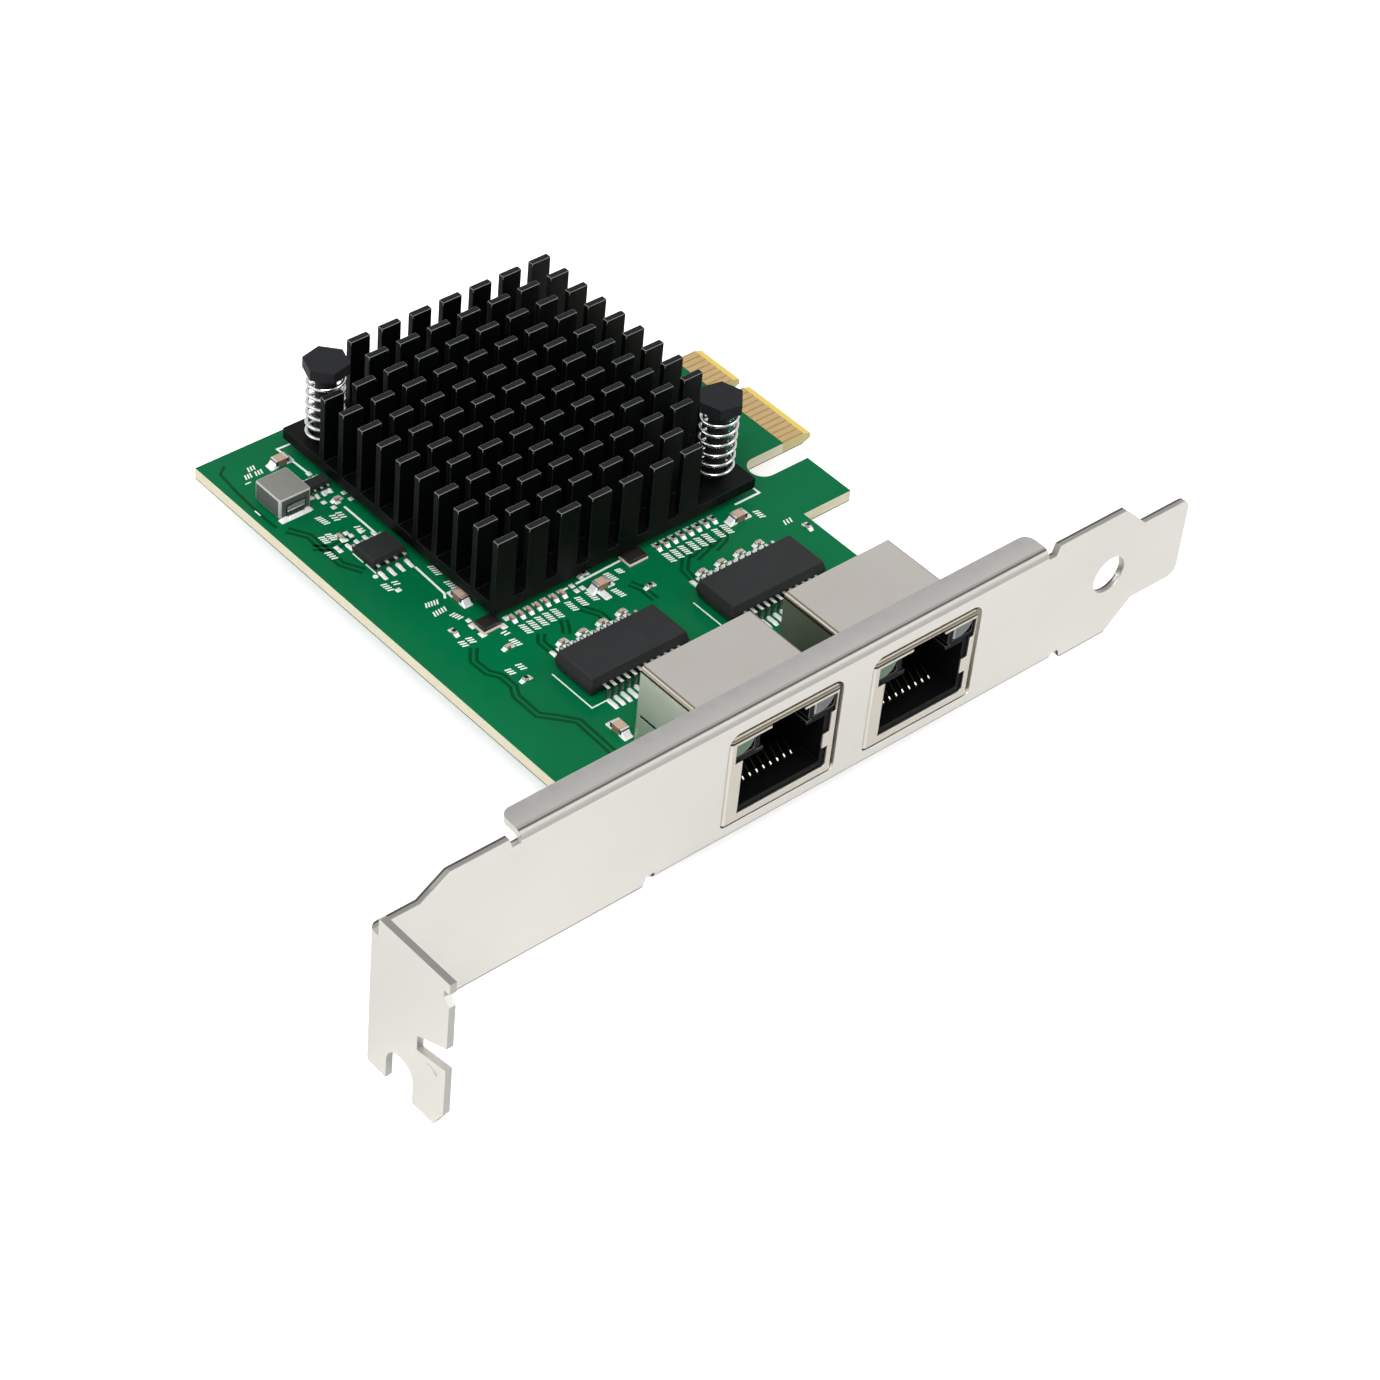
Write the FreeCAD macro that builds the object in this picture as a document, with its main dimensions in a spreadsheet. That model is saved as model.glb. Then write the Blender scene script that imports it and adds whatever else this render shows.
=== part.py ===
import FreeCAD, Part
import math
import os
import Sketcher

# Dual-port network interface card on a full-height bracket.
# X runs along the bracket from its fixing tab to its tail, Y runs from the bracket's
# outer face into the card, and Z rises from the component face of the circuit board.
# Every length is in millimetres.

driving = {
    # bracket
    "steel": 0.86,
    "bend_radius": 0.34,
    "bracket_length": 120.1,
    "bracket_top": 14.4,
    "bracket_bottom": -4.0,
    "shoulder_top": 12.0,
    "shoulder_length": 6.1,
    "shoulder_run": 3.6,
    "tail_top": 10.8,
    "tail_bottom": -0.5,
    "tail_length": 7.6,
    "tail_run": 3.9,
    "tail_corner": 1.3,
    "tail_hole_inset": 12.5,
    "tail_hole_z": 5.3,
    "tail_hole_radius": 2.5,
    "tab_depth": 12.4,
    "tab_bottom": -7.1,
    "tab_toe": 2.6,
    "tab_toe_run": 1.5,
    "tab_corner": 0.9,
    "screw_slot_y": -5.2,
    "screw_slot_radius": 2.2,
    "screw_slot_depth": 4.9,
    "side_slot_inner": -7.8,
    "side_slot_low": 1.2,
    "side_slot_high": 3.2,
    "side_slot_flare": 2.0,
    "side_slot_rise": 0.8,
    "flange_start": 19.2,
    "flange_clear": 12.4,
    "flange_depth": 3.9,
    "flange_corner": 1.4,
    "lower_flange_share": 0.45,
    "relief_width": 1.6,
    "relief_slope": 0.4,
    "relief_extra": 0.1,
    "ear_length": 8.4,
    "ear_width": 7.6,
    "boss_radius": 2.0,
    "window_room": 0.325,
    "window_bottom": -1.75,
    "window_top": 11.85,
    "window_corner": 0.7,
    "window_top_corner": 1.6,
    "crimp_depth": 0.12,
    "crimp_out": 0.7,
    "crimp_in": 3.0,
    "crimp_low": 1.4,
    "crimp_high": 0.6,
    # circuit board
    "board_thick": 1.6,
    "board_left": 37.2,
    "board_front": 1.25,
    "board_back": 82.1,
    "board_right": 90.8,
    "hook_right": 98.45,
    "hook_front": 33.5,
    "hook_back": 41.2,
    "throat_end": 90.9,
    "finger_tip": 102.45,
    "finger_front": 45.0,
    "finger_run": 20.3,
    "finger_pitch": 1.0,
    "finger_width": 0.7,
    "finger_start": 97.9,
    "finger_bevel": 1.2,
    "finger_bevel_depth": 0.45,
    "finger_thick": 0.05,
    "key_width": 1.9,
    "key_depth": 6.6,
    "edge_margin": 0.3,
    "round_room": 0.05,
    # screws of the bracket
    "screw_gap_left": 5.775,
    "screw_x_right": 88.4,
    "screw_gap_right": 2.675,
    "screw_y": 5.0,
    "screw_radius": 1.0,
    "screw_head_radius": 1.9,
    "screw_head_height": 1.3,
    "screw_room": 0.12,
    "thread_room": 0.02,
    "screw_end": 0.6,
    "screw_slot_deep": 0.7,
    "screw_cross_arm": 1.1,
    "screw_cross_width": 0.5,
    # jacks
    "jack_pitch": 21.15,
    "jack_width": 16.2,
    "jack_front": 0.05,
    "jack_back": 15.0,
    "jack_top": 11.2,
    "jack_step": 11.4,
    "shield_steel": 0.25,
    "jack_gap": 0.06,
    "notch_room": 0.15,
    "mouth_offset": 0.35,
    "shield_corner": 0.5,
    "frame_side_left": 0.95,
    "frame_side_right": 0.4,
    "light_zone_top": 10.0,
    "light_zone_bottom": 7.3,
    "latch_mouth_width": 4.9,
    "latch_mouth_top": 10.6,
    "plug_mouth_left": 6.4,
    "plug_mouth_right": 6.75,
    "plug_mouth_bottom": -0.6,
    "plug_mouth_corner": 0.35,
    "ground_tab_low": 2.4,
    "ground_tab_high": 4.5,
    "ground_tab_reach": 0.9,
    "side_seam_z": 4.1,
    "side_seam_height": 0.4,
    "side_seam_length": 9.0,
    "shield_leg_y": 12.9,
    "shield_leg_width": 1.4,
    "tail_below": 1.4,
    "cavity_width": 11.9,
    "cavity_floor": 0.2,
    "cavity_top": 7.0,
    "cavity_depth": 11.5,
    "latch_width": 6.4,
    "latch_top": 8.8,
    "latch_neck_top": 10.0,
    "pipe_width": 2.9,
    "pipe_height": 2.2,
    "pipe_bottom": 8.05,
    "pipe_left": 0.9,
    "pipe_right": 0.65,
    "pipe_length": 9.0,
    "pipe_corner": 1.8,
    "pipe_room": 0.06,
    "sleeve_side": 0.8,
    "sleeve_below": 0.5,
    "sleeve_corner": 0.4,
    "sleeve_length": 2.2,
    "wire_width": 0.24,
    "wire_thick": 0.22,
    "wire_pitch": 1.02,
    "wire_row_front": 12.7,
    "wire_row_step": 1.27,
    "wire_level": 2.5,
    "wire_knee_y": 4.2,
    "wire_toe_y": 2.3,
    "wire_toe_z": 1.15,
    "wire_bend": 0.2,
    "wire_room": 0.28,
    # heat sink
    "sink_middle_x": 68.0,
    "sink_front": 39.4,
    "sink_width": 40.0,
    "sink_depth": 40.0,
    "sink_top": 12.0,
    "sink_base": 1.5,
    "fin_length": 2.9,
    "fin_thick": 0.85,
    "ear_fin_count": 2,
    "pin_inset_x": 3.2,
    "pin_inset_y": 4.0,
    "chip_width": 17.0,
    "chip_carrier": 0.4,
    "chip_rim": 0.6,
    "chip_height": 1.05,
    "pad_width": 15.0,
    "pad_thick": 0.35,
    # push pins
    "pin_radius": 1.3,
    "pin_room": 0.25,
    "pin_collar_radius": 1.75,
    "pin_collar_height": 0.9,
    "pin_head_flats": 5.0,
    "pin_head_height": 1.5,
    "pin_head_turn": 12.0,
    "pin_top": 14.1,
    "pin_barb_radius": 1.95,
    "pin_barb_room": 0.05,
    "pin_barb_length": 2.6,
    "pin_tip_radius": 0.7,
    "pin_split": 0.8,
    "spring_radius": 2.2,
    "spring_wire": 0.24,
    "spring_turn_count": 6.5,
    # transformer modules
    "magnetics_left": 48.65,
    "magnetics_front": 22.9,
    "magnetics_width": 14.7,
    "magnetics_depth": 6.6,
    "magnetics_top": 3.0,
    "magnetics_foot": 0.45,
    "magnetics_draft": 0.35,
    "magnetics_lead_pitch": 1.0,
    "magnetics_lead_width": 0.45,
    "magnetics_lead_reach": 2.3,
    "lead_knee_share": 0.35,
    "lead_thick": 0.2,
    # flash memory in an eight-lead package
    "flash_gap": 0.45,
    "flash_front": 54.8,
    "flash_width": 4.9,
    "flash_depth": 3.9,
    "flash_top": 1.55,
    "flash_foot": 0.15,
    "flash_draft": 0.2,
    "flash_lead_pitch": 1.27,
    "flash_lead_width": 0.42,
    "flash_lead_reach": 1.05,
    # power inductor
    "inductor_left": 39.4,
    "inductor_front": 68.4,
    "inductor_width": 4.6,
    "inductor_depth": 4.9,
    "inductor_top": 2.9,
    "inductor_corner": 0.35,
    "terminal_width": 2.4,
    "terminal_thick": 0.2,
    "terminal_height": 1.1,
    "terminal_foot": 1.3,
    # small parts
    "large_cap_length": 2.0,
    "large_cap_width": 1.25,
    "large_cap_height": 0.95,
    "large_cap_end": 0.4,
    "small_part_length": 1.0,
    "small_part_width": 0.5,
    "small_part_height": 0.45,
    "small_part_end": 0.24,
    "row_left_x": 50.5,
    "row_right_x": 72.4,
    "row_y": 39.0,
    "row_pitch": 1.24,
    "filter_row_offset": 3.9,
    "filter_row_pitch": 2.95,
    "filter_row_gap": 3.0,
    # crystals
    "can_length": 2.9,
    "can_width": 2.2,
    "can_height": 0.8,
    "can_base": 0.3,
    "can_inset": 0.15,
    "grid": 0.1,
    "overshoot": 1.0,
    # supply regulator
    "regulator_reach": 2.8,
    "regulator_front": 70.1,
    "regulator_width": 2.9,
    "regulator_depth": 1.7,
    "regulator_top": 1.1,
    "regulator_foot": 0.12,
    "regulator_draft": 0.12,
    "regulator_lead_pitch": 0.95,
    "regulator_lead_width": 0.35,
    "regulator_lead_reach": 0.6,
}
fin_column_count = 9
fin_row_count = 12
key_contact_count = 11
far_contact_count = 7
key_gap_count = 3
jack_wire_count = 8
magnetics_lead_count = 12
flash_lead_count = 4
regulator_lead_count = 3
spring_step_count = 12
spring_side_count = 6

doc = FreeCAD.newDocument("network_interface_card")
sheet = doc.addObject("Spreadsheet::Sheet", "Sizes")
for row, (alias, number) in enumerate(driving.items(), start=1):
    sheet.set("A%d" % row, alias)
    sheet.set("B%d" % row, str(number))
    sheet.setAlias("B%d" % row, alias)
doc.recompute()


class Size:
    """A length that carries its number and the sheet formula that gives it."""

    def __init__(self, value, text):
        self.value = float(value)
        self.text = text

    def __add__(self, other):
        other = as_size(other)
        return Size(self.value + other.value, "(%s + %s)" % (self.text, other.text))

    def __sub__(self, other):
        other = as_size(other)
        return Size(self.value - other.value, "(%s - %s)" % (self.text, other.text))

    def __mul__(self, other):
        other = as_size(other)
        return Size(self.value * other.value, "(%s * %s)" % (self.text, other.text))

    def __truediv__(self, other):
        other = as_size(other)
        return Size(self.value / other.value, "(%s / %s)" % (self.text, other.text))

    def __neg__(self):
        return Size(-self.value, "(0 - %s)" % self.text)

    def __radd__(self, other):
        return as_size(other) + self

    def __rsub__(self, other):
        return as_size(other) - self

    def __rmul__(self, other):
        return as_size(other) * self


def as_size(value):
    return value if isinstance(value, Size) else Size(value, repr(float(value)))


class SizeSheet:
    """Reads a driving size by its name."""

    def __getattr__(self, name):
        return Size(getattr(sheet, name), "Sizes." + name)


s = SizeSheet()


def bind(obj, prop, value):
    """Set a property now and tie it to the sheet."""
    size = as_size(value)
    obj.setExpression(prop, size.text)


def place(obj, x, y, z):
    for axis, value in zip("xyz", (x, y, z)):
        bind(obj, "Placement.Base." + axis, value)


# Part primitives

def box(name, low, high):
    obj = doc.addObject("Part::Box", name)
    for prop, a, b in zip(("Length", "Width", "Height"), low, high):
        bind(obj, prop, as_size(b) - a)
    place(obj, *low)
    return obj


def cylinder(name, centre, radius, height):
    obj = doc.addObject("Part::Cylinder", name)
    bind(obj, "Radius", radius)
    bind(obj, "Height", height)
    place(obj, *centre)
    return obj


def cone(name, centre, radius_low, radius_high, height):
    obj = doc.addObject("Part::Cone", name)
    bind(obj, "Radius1", radius_low)
    bind(obj, "Radius2", radius_high)
    bind(obj, "Height", height)
    place(obj, *centre)
    return obj


def fused(name, pieces):
    obj = doc.addObject("Part::MultiFuse", name)
    obj.Shapes = pieces
    return obj


def cut(name, base, tool):
    obj = doc.addObject("Part::Cut", name)
    obj.Base = base
    obj.Tool = tool
    return obj


def group(name, pieces):
    obj = doc.addObject("Part::Compound", name)
    obj.Links = pieces
    return obj


# PartDesign bodies

PLANE_SIGN = {"XY": 1, "XZ": -1, "YZ": 1}


def new_body(name):
    body = doc.addObject("PartDesign::Body", name)
    body.AllowCompound = True
    return body


def origin_part(body, role):
    return next(part for part in body.Origin.OriginFeatures if part.Role == role)


def sketch_on(body, plane, level, name):
    sketch = body.newObject("Sketcher::SketchObject", name)
    sketch.AttachmentSupport = [(origin_part(body, plane + "_Plane"), "")]
    sketch.MapMode = "FlatFace"
    bind(sketch, "AttachmentOffset.Base.z", as_size(level) * PLANE_SIGN[plane])
    return sketch


def outline(sketch, points):
    """Draw a closed outline whose every corner is tied to the sheet."""
    points = [(as_size(u), as_size(v)) for u, v in points]
    first = sketch.GeometryCount
    count = len(points)
    for k in range(count):
        a, b = points[k], points[(k + 1) % count]
        start = FreeCAD.Vector(a[0].value, a[1].value, 0)
        end = FreeCAD.Vector(b[0].value, b[1].value, 0)
        sketch.addGeometry(Part.LineSegment(start, end), False)
    for k in range(count):
        sketch.addConstraint(Sketcher.Constraint("Coincident", first + k, 2, first + (k + 1) % count, 1))
    for k, corner in enumerate(points):
        for kind, value in zip(("DistanceX", "DistanceY"), corner):
            index = sketch.addConstraint(
                Sketcher.Constraint(kind, -1, 1, first + k, 1, value.value))
            bind(sketch, "Constraints[%d]" % index, value)


def circle(sketch, u, v, radius):
    u, v, radius = as_size(u), as_size(v), as_size(radius)
    centre = FreeCAD.Vector(u.value, v.value, 0)
    index = sketch.addGeometry(Part.Circle(centre, FreeCAD.Vector(0, 0, 1), radius.value), False)
    for kind, value in (("DistanceX", u), ("DistanceY", v)):
        row = sketch.addConstraint(Sketcher.Constraint(kind, -1, 1, index, 3, value.value))
        bind(sketch, "Constraints[%d]" % row, value)
    row = sketch.addConstraint(Sketcher.Constraint("Radius", index, radius.value))
    bind(sketch, "Constraints[%d]" % row, radius)


def rectangle(sketch, u_low, u_high, v_low, v_high):
    outline(sketch, [(u_low, v_low), (u_high, v_low), (u_high, v_high), (u_low, v_high)])


def eight_sided(sketch, u, v, radius):
    """A small hole drawn with eight flats."""
    near = radius * math.tan(math.pi / 8)
    corners = [(radius, near), (near, radius), (-near, radius), (-radius, near),
               (-radius, -near), (-near, -radius), (near, -radius), (radius, -near)]
    outline(sketch, [(u + across, v + along) for across, along in corners])


def pad(body, sketch, plane, length, name):
    """Add material from the sketch along the plane's positive axis."""
    feature = body.newObject("PartDesign::Pad", name)
    feature.Profile = sketch
    feature.Reversed = PLANE_SIGN[plane] < 0
    bind(feature, "Length", length)
    body.Tip = feature
    return feature


def pocket(body, sketch, plane, length, name):
    """Take material away from the sketch along the plane's positive axis."""
    feature = body.newObject("PartDesign::Pocket", name)
    feature.Profile = sketch
    feature.Reversed = PLANE_SIGN[plane] > 0
    bind(feature, "Length", length)
    body.Tip = feature
    return feature


def padded(body, plane, low, high, name, draw):
    sketch = sketch_on(body, plane, low, name + "_sketch")
    draw(sketch)
    return pad(body, sketch, plane, as_size(high) - low, name)


def pocketed(body, plane, low, high, name, draw):
    sketch = sketch_on(body, plane, low, name + "_sketch")
    draw(sketch)
    return pocket(body, sketch, plane, as_size(high) - low, name)


STRAIGHT = 1e-6
TOUCHING = 1e-3


def edges_along(feature, axis, spots):
    """Names of the straight edges along an axis that pass through the given spots."""
    along = "XYZ".index(axis)
    found = []
    for index, edge in enumerate(feature.Shape.Edges, start=1):
        if edge.Curve.TypeId != "Part::GeomLine":
            continue
        start, end = [vertex.Point for vertex in edge.Vertexes]
        run = end - start
        if abs(run[along]) < run.Length - STRAIGHT:
            continue
        for spot in spots:
            numbers = [as_size(value).value for value in spot]
            low, high = sorted((start[along], end[along]))
            beside = all(abs(start[k] - numbers[k]) < TOUCHING for k in range(3) if k != along)
            if beside and low < numbers[along] < high:
                found.append("Edge%d" % index)
                break
    if len(found) != len(spots):
        raise ValueError("%s: %d of %d edges found" % (feature.Label, len(found), len(spots)))
    return found


def rounded(body, feature, axis, spots, radius, name):
    doc.recompute()
    edges = edges_along(feature, axis, spots)
    fillet = body.newObject("PartDesign::Fillet", name)
    fillet.Base = (feature, edges)
    bind(fillet, "Radius", radius)
    body.Tip = fillet
    return fillet


def linear_pattern(body, feature, axis, pitch, count, name):
    pattern = body.newObject("PartDesign::LinearPattern", name)
    pattern.Originals = [feature]
    pattern.Direction = (origin_part(body, axis + "_Axis"), [""])
    pattern.Occurrences = count
    bind(pattern, "Length", pitch * (count - 1))
    body.Tip = pattern
    return pattern


# Places that several pieces share
board_bottom = -s.board_thick
right_jack = s.screw_x_right - s.screw_gap_right - s.jack_width
jack_lefts = {"left": right_jack - s.jack_pitch, "right": right_jack}
jack_middle = s.jack_width / 2 + s.mouth_offset
wire_span = s.wire_pitch * (jack_wire_count - 1)
first_wire = jack_middle - wire_span / 2
sink_bottom = s.chip_height + s.pad_thick
base_top = sink_bottom + s.sink_base
sink_left = s.sink_middle_x - s.sink_width / 2
sink_right = sink_left + s.sink_width
sink_back = s.sink_front + s.sink_depth
pin_places = {
    "left": (sink_left + s.pin_inset_x, sink_back - s.pin_inset_y),
    "right": (sink_right - s.pin_inset_x, s.sink_front + s.pin_inset_y),
}
screw_places = {"left": jack_lefts["left"] - s.screw_gap_left, "right": s.screw_x_right}
tail_start = s.bracket_length - s.tail_length
slope_start = tail_start - s.tail_run
flange_end = slope_start - s.flange_clear
lower_flange_start = screw_places["left"] - s.ear_width / 2
right_ear_end = screw_places["right"] + s.ear_width / 2
lower_flange_end = right_ear_end + (slope_start - right_ear_end) * s.lower_flange_share
flash_left = sink_left - s.flash_gap - s.flash_width
regulator_left = sink_left - s.regulator_reach
pipe_lefts = {"left": s.pipe_left, "right": s.jack_width - s.pipe_right - s.pipe_width}
finger_back = s.finger_front + s.finger_run
first_finger = s.finger_front + s.edge_margin + s.finger_width / 2
key_centre = first_finger + s.finger_pitch * (key_contact_count - 1 + key_gap_count / 2)


def make_bracket():
    """Folded steel bracket: face, fixing tab, tail, two stiffening flanges and two bosses."""
    body = new_body("bracket")
    top, bottom, steel, over = s.bracket_top, s.bracket_bottom, s.steel, s.overshoot
    outer_bend = s.bend_radius + steel
    depth = -s.tab_depth
    windows = [(left - s.window_room, left + s.jack_width + s.window_room)
               for left in jack_lefts.values()]

    def folded_blank(sketch):
        outline(sketch, [(0, steel), (s.bracket_length, steel), (s.bracket_length, 0),
                         (steel, 0), (steel, depth), (0, depth)])

    blank = padded(body, "XY", s.tab_bottom, top, "blank", folded_blank)
    bend = rounded(body, blank, "Z", [(0, steel, 0)], outer_bend, "tab_outer_bend")
    rounded(body, bend, "Z", [(steel, 0, 0)], s.bend_radius, "tab_inner_bend")

    def face_trim(sketch):
        shoulder_end = s.shoulder_length + s.shoulder_run
        far, high, low = s.bracket_length + over, top + over, s.tab_bottom - over
        outline(sketch, [(-over, s.shoulder_top), (s.shoulder_length, s.shoulder_top),
                         (shoulder_end, top), (shoulder_end, high), (-over, high)])
        outline(sketch, [(outer_bend, bottom), (slope_start, bottom),
                         (tail_start, s.tail_bottom), (far, s.tail_bottom), (far, low),
                         (outer_bend, low)])
        outline(sketch, [(slope_start, top), (tail_start, s.tail_top), (far, s.tail_top),
                         (far, high), (slope_start, high)])
        for near, far_side in windows:
            rectangle(sketch, near, far_side, s.window_bottom, s.window_top)
        circle(sketch, s.bracket_length - s.tail_hole_inset, s.tail_hole_z, s.tail_hole_radius)

    pocketed(body, "XZ", -over, steel + over, "face_trim", face_trim)
    near = s.screw_slot_y + s.screw_slot_radius
    far = s.screw_slot_y - s.screw_slot_radius
    slot_round = s.tab_bottom + s.screw_slot_depth - s.screw_slot_radius

    def tab_trim(sketch):
        out = depth - over
        outline(sketch, [(out, s.shoulder_top + over), (out, s.shoulder_top - s.tab_corner),
                         (depth, s.shoulder_top - s.tab_corner),
                         (depth + s.tab_corner, s.shoulder_top),
                         (depth + s.tab_corner, s.shoulder_top + over)])
        outline(sketch, [(out, s.side_slot_high + s.side_slot_flare),
                         (depth, s.side_slot_high + s.side_slot_flare),
                         (s.side_slot_inner, s.side_slot_high),
                         (s.side_slot_inner, s.side_slot_low),
                         (depth, s.side_slot_low + s.side_slot_rise),
                         (out, s.side_slot_low + s.side_slot_rise)])
        outline(sketch, [(out, s.tab_bottom - over),
                         (depth + s.tab_toe_run, s.tab_bottom - over),
                         (depth + s.tab_toe_run, s.tab_bottom), (depth, s.tab_bottom + s.tab_toe),
                         (out, s.tab_bottom + s.tab_toe)])
        rectangle(sketch, far, near, s.tab_bottom - over, slot_round)

    pocketed(body, "YZ", -over, steel + over, "tab_trim", tab_trim)
    pocketed(body, "YZ", -over, steel + over, "screw_slot",
             lambda sketch: circle(sketch, s.screw_slot_y, slot_round, s.screw_slot_radius))
    toe = s.side_slot_low + s.side_slot_rise
    pocketed(body, "YZ", -over, s.crimp_depth, "crimp",
             lambda sketch: outline(sketch, [(depth + s.crimp_in, toe - s.crimp_low),
                                             (depth + s.crimp_low, toe - s.crimp_low - s.crimp_high),
                                             (depth + s.crimp_out, toe - s.crimp_high)]))
    padded(body, "YZ", s.flange_start, flange_end, "upper_flange",
           lambda sketch: rectangle(sketch, 0, s.flange_depth, top - steel, top))
    padded(body, "YZ", lower_flange_start, lower_flange_end, "lower_flange",
           lambda sketch: rectangle(sketch, 0, s.flange_depth, bottom, bottom + steel))

    def ears(sketch):
        for middle in screw_places.values():
            low = middle - s.ear_width / 2
            rectangle(sketch, low, low + s.ear_width, steel + s.bend_radius, s.ear_length)

    padded(body, "XY", bottom, bottom + steel, "ears", ears)

    def reliefs(sketch):
        width, slope = s.relief_width, s.relief_slope
        depth_of_cut = outer_bend + s.relief_extra
        for level, up in ((top, 1), (bottom, -1)):
            inner = level - depth_of_cut * up
            outer = level + over * up
            start, end = ((s.flange_start, flange_end) if up > 0
                          else (lower_flange_start, lower_flange_end))
            outline(sketch, [(start, outer), (start, inner), (start - width + slope, inner),
                             (start - width, level), (start - width, outer)])
            outline(sketch, [(end, outer), (end, inner), (end + width - slope, inner),
                             (end + width, level), (end + width, outer)])

    relief = pocketed(body, "XZ", -over, steel + over, "bend_reliefs", reliefs)
    upper_middle = (s.flange_start + flange_end) / 2
    lower_middle = (lower_flange_start + lower_flange_end) / 2
    folds = rounded(body, relief, "X", [(upper_middle, 0, top), (lower_middle, 0, bottom)],
                    outer_bend, "flange_outer_bends")
    folds = rounded(body, folds, "X", [(upper_middle, steel, top - steel),
                                       (lower_middle, steel, bottom + steel)],
                    s.bend_radius, "flange_inner_bends")
    upper, lower = top - steel / 2, bottom + steel / 2
    corners = [(s.flange_start, s.flange_depth, upper), (flange_end, s.flange_depth, upper),
               (lower_flange_end, s.flange_depth, lower)]
    corners += [(middle + side * s.ear_width / 2, s.ear_length, lower)
                for middle in screw_places.values() for side in (-1, 1)]
    rounded(body, folds, "Z", corners, s.flange_corner, "flange_corners")
    tail = [(s.bracket_length, steel / 2, level) for level in (s.tail_bottom, s.tail_top)]
    low_corners = [(x, steel / 2, s.window_bottom) for sides in windows for x in sides]
    top_corners = [(x, steel / 2, s.window_top) for sides in windows for x in sides]
    ends = rounded(body, body.Tip, "Y", tail, s.tail_corner, "tail_corners")
    ends = rounded(body, ends, "Y", low_corners, s.window_corner, "window_low_corners")
    rounded(body, ends, "Y", top_corners, s.window_top_corner, "window_top_corners")

    def bosses(sketch):
        for middle in screw_places.values():
            circle(sketch, middle, s.screw_y, s.boss_radius)

    padded(body, "XY", bottom + steel / 2, board_bottom, "bosses", bosses)

    def threads(sketch):
        for middle in screw_places.values():
            circle(sketch, middle, s.screw_y, s.screw_radius + s.thread_room)

    pocketed(body, "XY", bottom - steel, board_bottom + steel, "boss_holes", threads)
    return body


def make_bracket_screws():
    """Two pan-head screws that hold the board on the bracket's bosses."""
    screws = []
    for side, x in screw_places.items():
        shank_bottom = s.bracket_bottom - s.screw_end
        shank = cylinder("screw_shank_" + side, (x, s.screw_y, shank_bottom), s.screw_radius,
                         -shank_bottom)
        head = cylinder("screw_head_%s_blank" % side, (x, s.screw_y, 0), s.screw_head_radius,
                        s.screw_head_height)
        whole = fused("screw_blank_" + side, [shank, head])
        deep = s.screw_head_height - s.screw_slot_deep
        arm, wide = s.screw_cross_arm, s.screw_cross_width / 2
        across = box("screw_cross_x_" + side, (x - arm, s.screw_y - wide, deep),
                     (x + arm, s.screw_y + wide, s.screw_head_height + s.overshoot))
        along = box("screw_cross_y_" + side, (x - wide, s.screw_y - arm, deep),
                    (x + wide, s.screw_y + arm, s.screw_head_height + s.overshoot))
        cross = fused("screw_cross_" + side, [across, along])
        screws.append(cut("screw_" + side, whole, cross))
    return group("bracket_screws", screws)


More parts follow.
